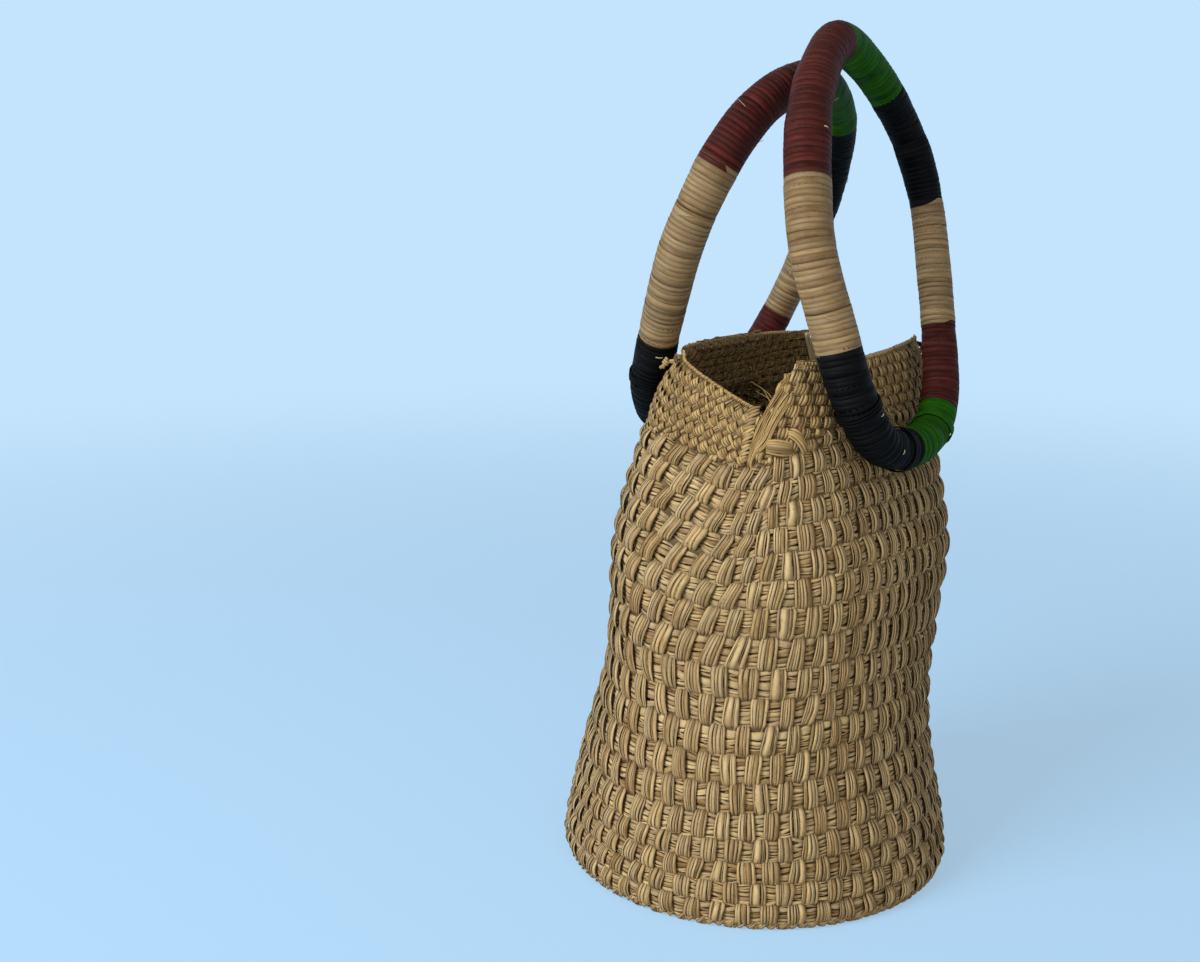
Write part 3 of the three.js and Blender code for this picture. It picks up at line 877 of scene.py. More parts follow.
@dataclass
class CoarseWall(Maker):
    """Plain weave of raffia bundles from the foot to the shoulder.

    Upright bundle i passes over row j where i + j is even, and the row passes over it where odd.
    """

    palette: Palette
    bundles: int = 98
    rows: tuple[float, ...] = (
        8, 19, 29.5, 40.5, 52.5, 66, 80.5, 94.5, 108.5, 123, 139, 155.5, 171, 185.5, 198.5, 210.5, 222, 233, 243.5,
    )
    up: BundleLay = BundleLay(
        5, over=2.6, under=1.2, crown=1.1, narrow=0.5, depth=1.15, seat=2.1, cover=1.06, uneven=0.45, jitter=0.16
    )
    round: BundleLay = BundleLay(
        7, over=0.6, under=0.9, crown=0.3, narrow=0.9, depth=0.95, seat=2.4, cover=1.08, uneven=0.42, drift=0.42,
        jitter=0.16, bow=0.3,
    )
    rows_below: float = 0.72
    rows_above: float = 0.8
    over_share: float = 1.22
    row_share: float = 0.96
    stations_per_row: int = 6
    stations_per_bundle: int = 4
    collar_inset: float = 2.4
    backing_inset: float = 2.4
    backing_width: float = 5.4
    backing_depth: float = 0.5
    seed: int = 11

    def height_of(self, row: Array) -> Array:
        """Height of a row number, straight between rows and on past the ends."""
        index = np.arange(len(self.rows))
        low = self.rows[0] + row * (self.rows[1] - self.rows[0])
        high = self.rows[-1] + (row - index[-1]) * (self.rows[-1] - self.rows[-2])
        middle = np.interp(row, index, self.rows)
        return np.where(row < 0, low, np.where(row > index[-1], high, middle))

    def frames(self, level: Array, share: Array) -> tuple[Array, Array, Array, Array]:
        """Point, level direction, outward direction and cover at a nominal height and a count of bundles.

        The true height is the nominal one plus the field's lift at that bearing. The cover grows to 1
        where the collar lies over the wall, and the wall is drawn in there.
        """
        bearing = PLACES.bearing(level, share)
        height = level + FIELD.lift(level, bearing)
        centre, side, out = SHAPE.frame(height, bearing)
        cover = smooth((height - FIELD.edge(bearing) + 1.5) / 5.0)
        return centre - out * (self.collar_inset * cover)[..., None], side, out, cover

    def uprights(self, first: int, last: int, name: str) -> StrandMesh:
        """Upright bundles from "first" up to "last", whose wave is cos(pi (row + i)).

        A bundle's span is a share of twice the distance to its neighbour, and both ends are drawn
        together and tucked inwards.

        Args:
            first: number of the first bundle.
            last: number after the last bundle.
            name: name of the mesh.

        Returns:
            The strands.
        """
        steps = self.stations_per_row
        row = np.arange(-self.rows_below * steps, (len(self.rows) - 1 + self.rows_above) * steps) / steps
        mesh = StrandMesh(name)
        number = np.arange(first, last)
        share = np.broadcast_to((number[:, None] + 0.5) / self.bundles, (len(number), len(row)))
        level = np.broadcast_to(self.height_of(row), share.shape)
        centre, side, out, cover = self.frames(level, share)
        beside = self.frames(level, share + 1.0 / self.bundles)[0]
        pitch = np.linalg.norm(beside - centre, axis=-1)
        phase = np.pi * (row[None, :] + number[:, None])
        wave = np.cos(phase) * (1.0 - 0.7 * cover)
        tuck = smooth((0.3 - (row - row[0])) / 0.45) + smooth((0.4 - (row[-1] - row)) / 0.5)
        sway = wander(self.rng, len(number), row + 1.5, 0.45)
        sway = sway + np.sin(phase) * FIELD.slant(level, PLACES.bearing(level, share))
        swell = 1.0 + wander(self.rng, len(number), row + 1.5, 0.1)
        span = pitch * self.over_share * swell * (1.0 - 0.42 * tuck) * (1.0 - 0.3 * cover)
        centre = centre + side * sway[..., None] - out * (2.2 * tuck)[None, :, None]
        self.up.lay(mesh, self.rng, centre, side, out, wave, span, row + 1.0, DOMED)
        return mesh

    def rounds(self, first: int, last: int, name: str) -> StrandMesh:
        """Rows from "first" up to "last": closed loops of thinner strands laid above one another.

        A flat strand lies deep in each row and between it and the next, where the bundles leave gaps; it is painted
        nearly in the shade colour, as painted shade in those gaps.

        Args:
            first: number of the first row.
            last: number after the last row.
            name: name of the mesh.

        Returns:
            The strands.
        """
        stations = self.bundles * self.stations_per_bundle
        way = np.arange(stations) / stations
        place = way * self.bundles
        mesh = StrandMesh(name)
        number = np.arange(first, last)
        share = np.broadcast_to(way, (len(number), stations))
        level = np.broadcast_to(self.height_of(number)[:, None], share.shape)
        centre, side, out, cover = self.frames(level, share)
        room = 0.5 * (self.height_of(number + 1.0) - self.height_of(number - 1.0))
        wave = -np.cos(np.pi * (place[None, :] - 0.5 + number[:, None])) * (1.0 - 0.5 * cover)
        sway = wander(self.rng, len(number), place / 7.0, 0.5, closed=True)
        upward = unit(np.cross(out, side))
        span = room[:, None] * self.row_share * (1.0 + wander(self.rng, len(number), place, 0.05, closed=True))
        self.round.lay(mesh, self.rng, centre + upward * sway[..., None], upward, out, wave, span, place, FLAT, True)
        # Backing strips painted nearly in the shade colour, as painted shade in the gaps.
        for backed in (number, np.arange(first, min(last, len(self.rows) - 1)) + 0.5):
            level = np.broadcast_to(self.height_of(backed)[:, None], (len(backed), stations // 2))
            centre, side, out, cover = self.frames(level, np.broadcast_to(way[::2], level.shape))
            path = centre - out * (self.backing_inset - 1.3 * cover)[..., None]
            tones = self.rng.random(len(backed))
            upward = unit(np.cross(out, side))
            mesh.carry(path, upward, self.backing_width, self.backing_depth, tones, FLAT, True, BACKING_SHADE)
        return mesh

    def build(self) -> list[Piece]:
        """Makes the wall's pieces and lays them on the root body.

        Returns:
            The finished pieces.
        """
        plan = (
            ("wall_uprights", self.uprights, (0, 25, 50, 74, self.bundles)),
            ("wall_rounds", self.rounds, (0, 5, 10, 15, len(self.rows))),
        )
        made = []
        for name, lay, cuts in plan:
            for i, (first, last) in enumerate(zip(cuts, cuts[1:])):
                piece = self.palette.dress(lay(first, last, f"{name}_{i + 1}").write(), Dye.WEAVE)
                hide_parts("body_wall")
                made.append(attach(piece, "root"))
        return made


@dataclass
class Foot(Maker):
    """Twined border round the foot and the woven disc that closes it."""

    palette: Palette
    border_radius: float = 101.4
    border_height: float = 3.0
    border_clearance: float = 0.85
    twine_reach: float = 1.35
    twine_turns: int = 62
    steps_per_twine: int = 12
    ply_strands: int = 3
    disc_radius: float = 99.4
    disc_height: float = 1.5
    disc_wave: float = 0.5
    hub_radius: float = 8.0
    spokes: int = 46
    steps_per_crossing: int = 3
    ring_pitch: float = 7.4
    ring_share: float = 0.235
    ring_limit: float = 99.0
    strands_per_ring: int = 4
    seed: int = 23

    def border(self) -> StrandMesh:
        """Two plies twisted round each other, each of a few strands, in a level circle.

        A strand's place is the circle plus twine_reach at the ply's angle plus a smaller reach at
        the strand's own angle, both turning as they go round.
        """
        mesh = StrandMesh("foot_border")
        stations = self.twine_turns * self.steps_per_twine
        way = np.arange(stations) / stations
        for ply in range(2):
            twist = 2 * np.pi * self.twine_turns * way + np.pi * ply
            for k in range(self.ply_strands):
                own = 2 * np.pi * k / self.ply_strands + twist
                wobble = self.drift(way * self.twine_turns, 0.16, True)
                radial = self.twine_reach * np.cos(twist) + 0.75 * np.cos(own)
                rise = self.twine_reach * np.sin(twist) + 0.7 * np.sin(own)
                level = np.maximum(self.border_height + rise, self.border_clearance)
                path = about_axis(self.border_radius + radial + wobble, 2 * np.pi * way, level)
                self.strand(mesh, path, UP, 1.7, 1.4, rounded(5, 0.25), True)
        return mesh

    def disc(self) -> StrandMesh:
        """Spokes over and under closed rings: height = disc_wave cos(pi (ring + spoke)) for a spoke.

        Broad flat rings lie between the two, so that the disc is closed; they are painted nearly in the shade colour,
        as painted shade.
        """
        mesh = StrandMesh("foot_disc")
        rings = int((self.disc_radius - self.hub_radius) / self.ring_pitch)
        number = np.arange(self.spokes)
        radius = np.linspace(5.0, self.disc_radius, rings * self.steps_per_crossing)
        turn = 2 * np.pi * number / self.spokes
        ring = (radius - self.hub_radius) / self.ring_pitch - 0.5
        lift = self.disc_height + self.disc_wave * np.cos(np.pi * (ring[None, :] + number[:, None]))
        cosine, sine = np.cos(turn[:, None]), np.sin(turn[:, None])
        side = np.stack([-sine, cosine, np.zeros_like(sine)], axis=-1)
        for k in range(3):
            aside = (k - 1) * (0.35 + 0.038 * radius)[None, :] + wander(self.rng, self.spokes, ring + 2, 0.3)
            path = np.stack([radius * cosine - aside * sine, radius * sine + aside * cosine, lift], axis=-1)
            tones = self.rng.random(self.spokes)
            mesh.carry(path, np.broadcast_to(side, path.shape), 0.5 + 0.036 * radius, 0.6, tones, rounded(4, 0.0))
        stations = self.spokes * self.steps_per_crossing
        way = np.arange(stations) / stations
        angle = 2 * np.pi * way
        for i in range(rings):
            wave = np.cos(np.pi * (way * self.spokes + i))
            for k in range(self.strands_per_ring):
                place = self.hub_radius + (i + 0.5) * self.ring_pitch + (k - 1.5) * self.ring_pitch * self.ring_share
                reach = np.minimum(place + self.drift(way * self.spokes, 0.2, True), self.ring_limit)
                path = about_axis(reach, angle, self.disc_height - self.disc_wave * wave)
                self.strand(mesh, path, about_axis(1.0, angle, 0.0), 1.9, 0.6, rounded(4, 0.0), True)
        # Backing rings painted nearly in the shade colour, as painted shade.
        angle = np.linspace(0, 2 * np.pi, 97)[:-1]
        ray = about_axis(1.0, angle, 0.0)
        for reach in np.linspace(4.0, self.disc_radius - 0.9, 15):
            self.strand(mesh, ray * reach + UP * self.disc_height, ray, 7.8, 0.4, FLAT, True, BACKING_SHADE)
        return mesh

    def build(self) -> list[Piece]:
        """Makes the border and the disc on the root body."""
        made = []
        for part, node in ((self.border(), "base_border"), (self.disc(), "base_disc")):
            piece = self.palette.dress(part.write(), Dye.WEAVE)
            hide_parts(node)
            made.append(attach(piece, "root"))
        return made


@dataclass(frozen=True)
class Side:
    """One of the two like halves of the collar and its handle."""

    name: str
    turn: float
    bend_y: float
    bend_from: float
    bend_to: float
    rim_sag: float

    @property
    def body(self) -> str:
        """Body of this half's handle."""
        return f"{self.name}_handle"

    def bend(self, piece: Piece) -> Piece:
        """Bakes the piece's place into its mesh and returns it.
        """
        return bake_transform(piece)


SIDES = (
    Side("front", 0.0, -1.0, 244.6, 267.1, 2.5),
    Side("back", 180.0, 1.0, 230.0, 251.0, -1.5),
)


@dataclass
class CollarHalf(Maker):
    """Fine plain weave from the free edge round to the slit, with its hem, bindings and knots.

    Bearings are those of the front half's own pattern; "turn" brings them to the other half.
    """

    palette: Palette
    side: Side
    seed: int
    foot: float = 236.5
    mouth: float = 278.0
    hem_foot: float = 198.5
    hem_top: float = 207.5
    hem_width: float = 2.4
    peak: float = 329.0
    slit: float = 377.2
    peak_rise: float = 2.0
    valley: float = 257.0
    slit_foot: float = 243.0
    upright_pitch: float = 4.9
    row_pitch: float = 5.2
    up: BundleLay = BundleLay(
        4, over=1.8, under=1.0, crown=1.0, narrow=0.62, depth=0.95, seat=1.9, cover=1.12, uneven=0.3, drift=0.12,
        jitter=0.08, bow=0.7,
    )
    round: BundleLay = BundleLay(
        5, over=0.45, under=0.55, crown=0.4, narrow=0.95, depth=0.85, seat=2.2, cover=1.1, uneven=0.3, drift=0.14,
        jitter=0.08,
    )
    over_share: float = 1.42
    row_share: float = 0.98
    seat: float = 1.9
    spare_uprights: int = 8
    rows_below: int = 18
    rows_above: int = 12
    fewest_places: int = 7
    binding_turns: int = 84
    cord_turns: int = 26
    edge_strands: int = 10
    stitches: int = 15
    barrels: tuple[tuple[float, ...], ...] = ((6.4, 0.6, 0.0, 240.2, 206.6, 6), (4.4, 1.5, 3.4, 242.6, 212.6, 4))
    whiskers: tuple[tuple[float, float], ...] = ((-11.0, 8.0), (-8.0, 5.0), (-5.0, 8.5))
    loops: tuple[tuple[float, ...], ...] = (
        (-2.0, -2.6, 2.5, 2.5, 0.2), (1.0, -1.2, 2.7, 1.9, -0.2), (2.6, -7.0, 4.6, 2.1, -1.0),
        (0.4, -6.2, 3.6, 1.8, -1.2),
    )

    def __post_init__(self) -> None:
        """Seeds the half's own random numbers and measures its bearings in millimetres."""
        super().__post_init__()
        bearings = np.linspace(self.hem_foot - 4, self.slit + 2, 700)
        ring = SHAPE.point(np.full(700, 258.0), bearings + self.side.turn)
        steps = np.linalg.norm(np.diff(ring, axis=0), axis=-1)
        self.scale = (np.concatenate([[0.0], np.cumsum(steps)]), bearings)
        self.hem_way, self.climb_way = self.way_of(self.hem_top), self.way_of(self.peak - 14)

    def bearing_of(self, way: Array) -> Array:
        """Bearing at a distance along the collar, measured half way up."""
        return np.interp(way, self.scale[0], self.scale[1])

    def way_of(self, bearing: Array | float) -> Array:
        """Distance along the collar at a bearing."""
        return np.interp(bearing, self.scale[1], self.scale[0])

    def top(self, bearing: Array) -> Array:
        """Height of the top edge: a sagging line to the peak, then straight down to the slit."""
        share = np.clip((bearing - self.hem_top) / (self.peak - self.hem_top), 0, 1)
        rim = self.mouth + self.peak_rise * share - self.side.rim_sag * np.sin(np.pi * share)
        down = np.clip((bearing - self.peak) / (self.slit - self.peak), 0, 1)
        slope = self.mouth + self.peak_rise + down * (self.valley - self.mouth - self.peak_rise)
        return np.where(bearing <= self.peak, rim, slope)

    def hem_edge(self, height: Array) -> Array:
        """Bearing of the free edge: it leans towards the corner, the more the higher it is."""
        rise = np.clip((height - self.slit_foot) / (self.mouth - self.slit_foot), 0, 1)
        return self.hem_foot + (self.hem_top - self.hem_foot) * rise**1.8

    def row_rise(self, way: Array) -> Array:
        """How far a row climbs: it falls a little from the free edge and climbs to the slit."""
        fall = -3.5 * smooth((way - self.hem_way) / 60.0)
        return fall + 0.28 * np.maximum(way - self.climb_way, 0.0) ** 1.2

    def lean(self, way: Array) -> Array:
        """Sideways run of an upright per millimetre of rise: square to the rows."""
        right = 0.24 * (1 - smooth((way - self.hem_way) / 70.0))
        return right - 0.55 * smooth((way - self.climb_way) / 40.0)

    def weave(self) -> StrandMesh:
        """Uprights and rows of the fine weave, each cut to the outline of the half.

        Upright i is over row j where cos(pi (row + i)) is positive; the row's wave is the negative.
        """
        mesh = StrandMesh(f"collar_{self.side.name}_weave")
        first = self.way_of(self.hem_foot + 1.0)
        last = self.way_of(self.slit - 0.6)
        spare = self.spare_uprights
        count = int((last - first) / self.upright_pitch) + spare + 2
        for i in range(-spare, count):
            self._upright(mesh, first + i * self.upright_pitch, i)
        for j in range(-self.rows_below, self.rows_above):
            self._row(mesh, first, last, j)
            self._row(mesh, first, last, j + 0.5, True)
        return mesh

    def low(self, bearing: Array) -> Array:
        """Lower edge of the fine weave, where the coarse one gives way."""
        return FIELD.edge(bearing + self.side.turn)

    def _inside(self, way: Array, height: Array) -> Array:
        """True where a place is within the outline of the half."""
        bearing = self.bearing_of(way)
        low = height >= self.low(bearing)
        high = height <= self.top(bearing) + np.where(bearing < self.peak, 0.4, -0.5)
        closed = 1.3 * smooth((self.valley + 1.0 - height) / 3.0)
        return low & high & (bearing >= self.hem_edge(height) - closed) & (bearing <= self.slit - 0.5 + closed)

    def _strip(self, mesh: StrandMesh, way: Array, height: Array, wave: Array, lay: BundleLay, share: float) -> None:
        """Lays one bundle of strands along a run of places.

        Its width is a share of the pitch times the cosine of its slope. Its ends lie flat.
        """
        bearing = self.bearing_of(way)
        centre, level, out = SHAPE.frame(height, bearing + self.side.turn)
        upward = unit(np.cross(out, level))
        along = tangents(np.stack([way, height, height * 0], axis=-1)[None], False)[0]
        across = level * along[:, 1:2] - upward * along[:, 0:1]
        place = np.arange(len(way)) / 4.0
        pitch, facing = (self.upright_pitch, along[:, 1]) if lay is self.up else (self.row_pitch, along[:, 0])
        width = share * pitch * facing * (1.0 + wander(self.rng, 1, place + 1, 0.07))
        run = np.concatenate([[0.0], np.cumsum(np.hypot(np.diff(way), np.diff(height)))])
        wave = wave * smooth((np.minimum(run, run[-1] - run) + 0.3) / 2.4)
        section = DOMED if lay is self.up else FLAT
        lay.lay(mesh, self.rng, centre[None], across[None], out[None], wave[None], width, place, section)

    def _upright(self, mesh: StrandMesh, place: float, number: int) -> None:
        """One upright bundle: it runs up from the foot and sideways by the lean there."""
        lean = self.lean(np.array(place))
        height = np.linspace(self.foot - 34, self.mouth + 3, 260)
        way = place + lean * (height - self.foot)
        inside = np.flatnonzero(self._inside(way, height))
        if len(inside) <= self.fewest_places:
            return
        rows = (height[inside[-1]] - height[inside[0]]) / self.row_pitch
        height = np.linspace(height[inside[0]], height[inside[-1]], max(int(rows * 4), 4) + 1)
        way = place + lean * (height - self.foot)
        row = (height - self.foot - self.row_rise(way)) / self.row_pitch
        self._strip(mesh, way, height, np.cos(np.pi * (row + number)), self.up, self.over_share)

    def _row(self, mesh: StrandMesh, first: float, last: float, number: float, deep: bool = False) -> None:
        """One row, or one deep strand between two that is painted nearly in the shade colour as painted shade: it runs
        at its own height plus the row rise.

        A row that leaves the outline and comes back, as at the two wedges, is laid as separate runs.
        """
        way = np.linspace(first, last, 900)
        height = self.foot + number * self.row_pitch + self.row_rise(way)
        inside = np.flatnonzero(self._inside(way, height))
        for run in np.split(inside, np.flatnonzero(np.diff(inside) > 1) + 1):
            if len(run) < self.fewest_places:
                continue
            crossings = (way[run[-1]] - way[run[0]]) / self.upright_pitch
            part = np.linspace(way[run[0]], way[run[-1]], max(int(crossings * 4), 4) + 1)
            level = self.foot + number * self.row_pitch + self.row_rise(part)
            # The deep strand is painted nearly in the shade colour, as painted shade between the rows.
            if deep:
                centre, flat, out = SHAPE.frame(level, self.bearing_of(part) + self.side.turn)
                upward = unit(np.cross(out, flat))
                self.strand(mesh, centre - out * self.seat, upward, 2.6, 0.5, FLAT, under_shade=BACKING_SHADE)
                continue
            origin = part - self.lean(part) * (level - self.foot)
            wave = -np.cos(np.pi * ((origin - first) / self.upright_pitch + number))
            self._strip(mesh, part, level, wave, self.round, self.row_share)

    def edge_run(self, start: float, end: float, count: int, lift: float) -> tuple[Array, Array, Array]:
        """Stations just over the top edge between two bearings, with their frames."""
        bearing = np.linspace(start, end, count)
        height = self.top(bearing)
        centre, level, out = SHAPE.frame(height, bearing + self.side.turn)
        centre = centre - out * self.seat + np.array([0.0, 0.0, lift])
        return centre, level, out

    def binding(self) -> StrandMesh:
        """Rolled edge: a strand wound round the run, over a bundle of straight strands."""
        mesh = StrandMesh(f"rim_binding_{self.side.name}_roll")
        turn = np.linspace(0, self.binding_turns, self.binding_turns * 9)
        centre, _, out = self.edge_run(self.hem_top + self.hem_width, self.peak - 1, len(turn), 0.6)
        along = tangents(centre[None], False)[0]
        up = unit(np.cross(out, along))
        up = up * np.where(up[:, 2:3] < 0, -1.0, 1.0)
        path = centre + turned(out, up, 2 * np.pi * turn) * (0.9 + self.drift(turn, 0.12))[:, None]
        self.strand(mesh, path, along, 1.7, 0.7, DOMED)
        centre, up, out = centre[::6], up[::6], out[::6]
        for k in range(5):
            own = 2 * np.pi * k / 5
            offset = out * math.cos(own) + up * math.sin(own)
            self.strand(mesh, centre + offset * 0.5, up, 0.9, 0.9, rounded(5))
        # Two flat strands under the roll, with some painted shade.
        for drop in (1.1, 2.5):
            self.strand(mesh, centre - up * drop, up, 2.0, 0.6, FLAT, under_shade=0.6)
        return mesh

    def edge_cord(self) -> StrandMesh:
        """Thin two-strand twist along the sloping edge of the notch."""
        mesh = StrandMesh(f"edge_cord_{self.side.name}_twist")
        centre, level, out = self.edge_run(self.peak + 2, self.slit - 1, self.cord_turns * 8, 0.4)
        up = unit(np.cross(out, level))
        angle = 2 * np.pi * np.linspace(0, self.cord_turns, len(centre))
        for k in range(2):
            wobble = self.drift(np.linspace(0, 40, len(centre)), 0.12)
            path = centre + turned(out, up, angle + np.pi * k) * (0.5 + wobble)[:, None]
            self.strand(mesh, path, up, 1.15, 1.05, rounded(5))
        return mesh

    def _up_face(
        self,
        mesh: StrandMesh,
        height: Array,
        bearing: Array,
        lift: Array,
        width: Array | float,
        depth: float,
        section: Array,
        under_shade: float = 0.0,
    ) -> None:
        """One strand at heights and bearings of the half's own pattern, lifted off the face."""
        centre, level, out = SHAPE.frame(height, bearing + self.side.turn)
        self.strand(mesh, centre + out * lift[:, None], level, width, depth, section, under_shade=under_shade)

    def hem(self) -> StrandMesh:
        """Light band up the free edge: four flat strands side by side."""
        mesh = StrandMesh(f"hem_{self.side.name}_band")
        height = np.linspace(self.slit_foot, self.mouth + 0.5, 30)
        for k in range(4):
            bearing = self.hem_edge(height) + self.hem_width * (0.08 + 0.26 * k)
            lift = -3.1 + self.drift(np.arange(len(height)) / 5.0, 0.12)
            self._up_face(mesh, height, bearing, lift, 1.2, 0.7, rounded(5, 0.25))
        return mesh

    def gather(self) -> StrandMesh:
        """Foot of the slit: edge strands, stitches, plump bundles, a lining behind them and whiskers."""
        mesh = StrandMesh(f"slit_gather_{self.side.name}_bundle")
        for lay in (self._edge_strands, self._stitches, self._barrels, self._lining, self._whiskers):
            lay(mesh)
        return mesh

    def _edge_strands(self, mesh: StrandMesh) -> None:
        """Strands down the free edge: each keeps its bearing beside it and draws in to the slit below."""
        drop = np.linspace(274.0, 229.0, 34)
        step = np.arange(len(drop))
        closing = smooth((drop - 231.0) / 24.0)
        for k in range(self.edge_strands):
            own = self.hem_edge(drop) + 0.2 + 0.36 * k
            low = 196.9 + 0.14 * k
            bearing = low + (own - low) * closing + self.drift(step / 6.0, 0.12)
            lift = -0.1 + self.drift(step / 4.0, 0.14) - 1.5 * smooth((drop - 268.0) / 6.0)
            lift = lift - 2.5 * smooth((233.0 - drop) / 4.0)
            wide = 1.05 + self.drift(step / 8.0, 0.12)
            self._up_face(mesh, drop - 1.2 * k * closing, bearing, lift, wide, 0.55, FLAT)

    def _stitches(self, mesh: StrandMesh) -> None:
        """Short slanted arches over the slit, one under another."""
        t = np.linspace(0, 1, 9)
        arch = np.sin(np.pi * t)
        for k in range(self.stitches):
            centre, level, out = spot(257.5 - 1.75 * k, 195.9 + self.side.turn - 0.03 * k)
            reach = (3.6 - 0.1 * k) * (1.0 + self.rng.normal(0, 0.12))
            slant = 0.55 + self.rng.normal(0, 0.12)
            path = centre + level * (reach * (2 * t - 1))[:, None] + UP * (slant * reach * (2 * t - 1))[:, None]
            path = path + out * (1.7 * arch - 1.3)[:, None]
            self.strand(mesh, path, unit(UP - level * slant), 1.0 + 0.9 * arch, 1.1, DOMED)

    def _barrels(self, mesh: StrandMesh) -> None:
        """Plump bundles: strands side by side round the front of a cylinder, diving at both ends.

        A barrel's numbers are its half width, how far its tips tilt, how far it sags to one end, its
        height, its bearing and its strands. A strand rises by the root of sin(pi t).
        """
        t = np.linspace(0, 1, 23)
        arch = np.sin(np.pi * t)
        for wide, tip, fall, height, bearing, strands in self.barrels:
            centre, level, out = spot(height, bearing + self.side.turn)
            for k in np.arange(strands) - 0.5 * (strands - 1):
                round_off = k / (0.5 * strands + 0.35)
                plump = np.sqrt(1.0 - round_off**2)
                reach = wide * (0.72 + 0.28 * plump) + self.rng.normal(0, 0.25)
                rise = 1.3 * k * (0.78 + 0.22 * arch) - tip * (2 * t - 1) - fall * (2 * t**2 - 1)
                path = centre + level * (reach * (2 * t - 1) + 0.5 * fall * k / strands)[:, None] + UP * rise[:, None]
                path = path + out * (4.6 * plump * arch**0.5 - 2.6)[:, None]
                self.strand(mesh, path, unit(UP - out * 1.1 * round_off), 1.7, 1.3, DOMED)

    def _lining(self, mesh: StrandMesh) -> None:
        """Flat upright strands behind the slit's foot, so that no light shows through, with a little painted shade."""
        height = np.linspace(226.0, 255.5, 16)
        step = np.arange(len(height)) / 3.0
        for bearing in np.arange(self.hem_foot - 9.0, self.hem_foot + 5.0, 1.0):
            lift = -3.4 + self.drift(step, 0.2)
            self._up_face(mesh, height, bearing, lift, 1.9 + self.drift(step, 0.1), 0.6, FLAT, 0.3)

    def _whiskers(self, mesh: StrandMesh) -> None:
        """Loose ends that stand up from the slit into the mouth."""
        way = np.linspace(0, 1, 9)
        for k, (aside, rise) in enumerate(self.whiskers):
            centre, level, out = spot(263.0 - 1.5 * k, self.hem_foot + 3.0 + self.side.turn)
            path = centre - out * 1.5 + level * (aside * way)[:, None] + UP * (rise * way**0.7)[:, None]
            path = path - out * (1.5 * way)[:, None]
            self.strand(mesh, path, UP, 0.45 - 0.3 * way, 0.25, rounded(4))

    def knot(self) -> StrandMesh:
        """Tied peak: double loops round the edge, and a wrapped tail that hangs out sideways."""
        mesh = StrandMesh(f"peak_knot_{self.side.name}_tied")
        centre, level, out = spot(self.mouth - 1.0, self.peak + self.side.turn)
        seat, across, away = centre[0] - out[0] * self.seat, level[0], out[0]
        right, near = across * 0.37 - away * 0.93, across * 0.93 + away * 0.37
        angle = np.linspace(0, 2 * np.pi, 25)[:-1]
        for aside, rise, long, wide, tilt in self.loops:
            run, cross = right * np.cos(tilt) + UP * np.sin(tilt), UP * np.cos(tilt) - right * np.sin(tilt)
            for inner in (0.0, 1.1):
                loop = seat + right * aside + UP * rise + near * (1.4 + 0.5 * inner)
                loop = loop + run * ((long - inner) * np.cos(angle))[:, None]
                loop = loop + cross * ((wide - inner) * np.sin(angle))[:, None]
                loop = loop + near * (1.5 * np.cos(2 * angle + aside))[:, None]
                self.strand(mesh, loop, near, 1.6, 1.3, rounded(6), True)
        self._tail(mesh, seat, right, near)
        return mesh

    def _tail(self, mesh: StrandMesh, seat: Array, right: Array, near: Array) -> None:
        """Tail of the knot: a coil round two loose ends, and two links back to the loops."""
        heart, fall = seat - right * 10.2 - UP * 8.6 + near, np.linspace(0, 1, 13)
        drop = unit(-right * 0.55 - UP * 0.85)
        coil = 2 * np.pi * 2.4 * fall
        wrap = heart + drop * (3.2 * fall - 1.6)[:, None] + near * (1.3 * np.cos(coil))[:, None]
        wrap = wrap + unit(np.cross(drop, near)) * (1.5 * np.sin(coil))[:, None]
        self.strand(mesh, wrap, drop, 1.5, 1.2, rounded(6))
        for aside, length in ((0.7, 5.0), (-0.6, 4.0)):
            tail = heart + drop * (length * fall)[:, None] - right * (aside * fall)[:, None]
            self.strand(mesh, tail, right, 1.3 + 0.8 * fall, 0.8, rounded(5))
        for lift in (0.0, 1.2):
            link = heart + (seat - right - UP * 3.5 - heart) * fall[:, None]
            link = link + UP * (lift * np.sin(np.pi * fall))[:, None]
            self.strand(mesh, link, UP, 1.2, 0.8, rounded(5))

    def build(self) -> list[Piece]:
        """Makes the half's pieces.

        Returns:
            The finished pieces.
        """
        name = self.side.name
        plan = (
            (self.weave(), f"collar_{name}", Dye.FINE),
            (self.binding(), f"rim_binding_{name}", Dye.FINE),
            (self.edge_cord(), f"edge_cord_{name}", Dye.FINE),
            (self.hem(), f"hem_{name}", Dye.HEM),
            (self.gather(), f"slit_gather_{name}", Dye.FINE),
            (self.knot(), f"peak_knot_{name}", Dye.FINE),
        )
        made = []
        for part, node, dye in plan:
            piece = self.palette.dress(part.write(), dye)
            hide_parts(node)
            made.append(self.side.bend(piece))
        return made


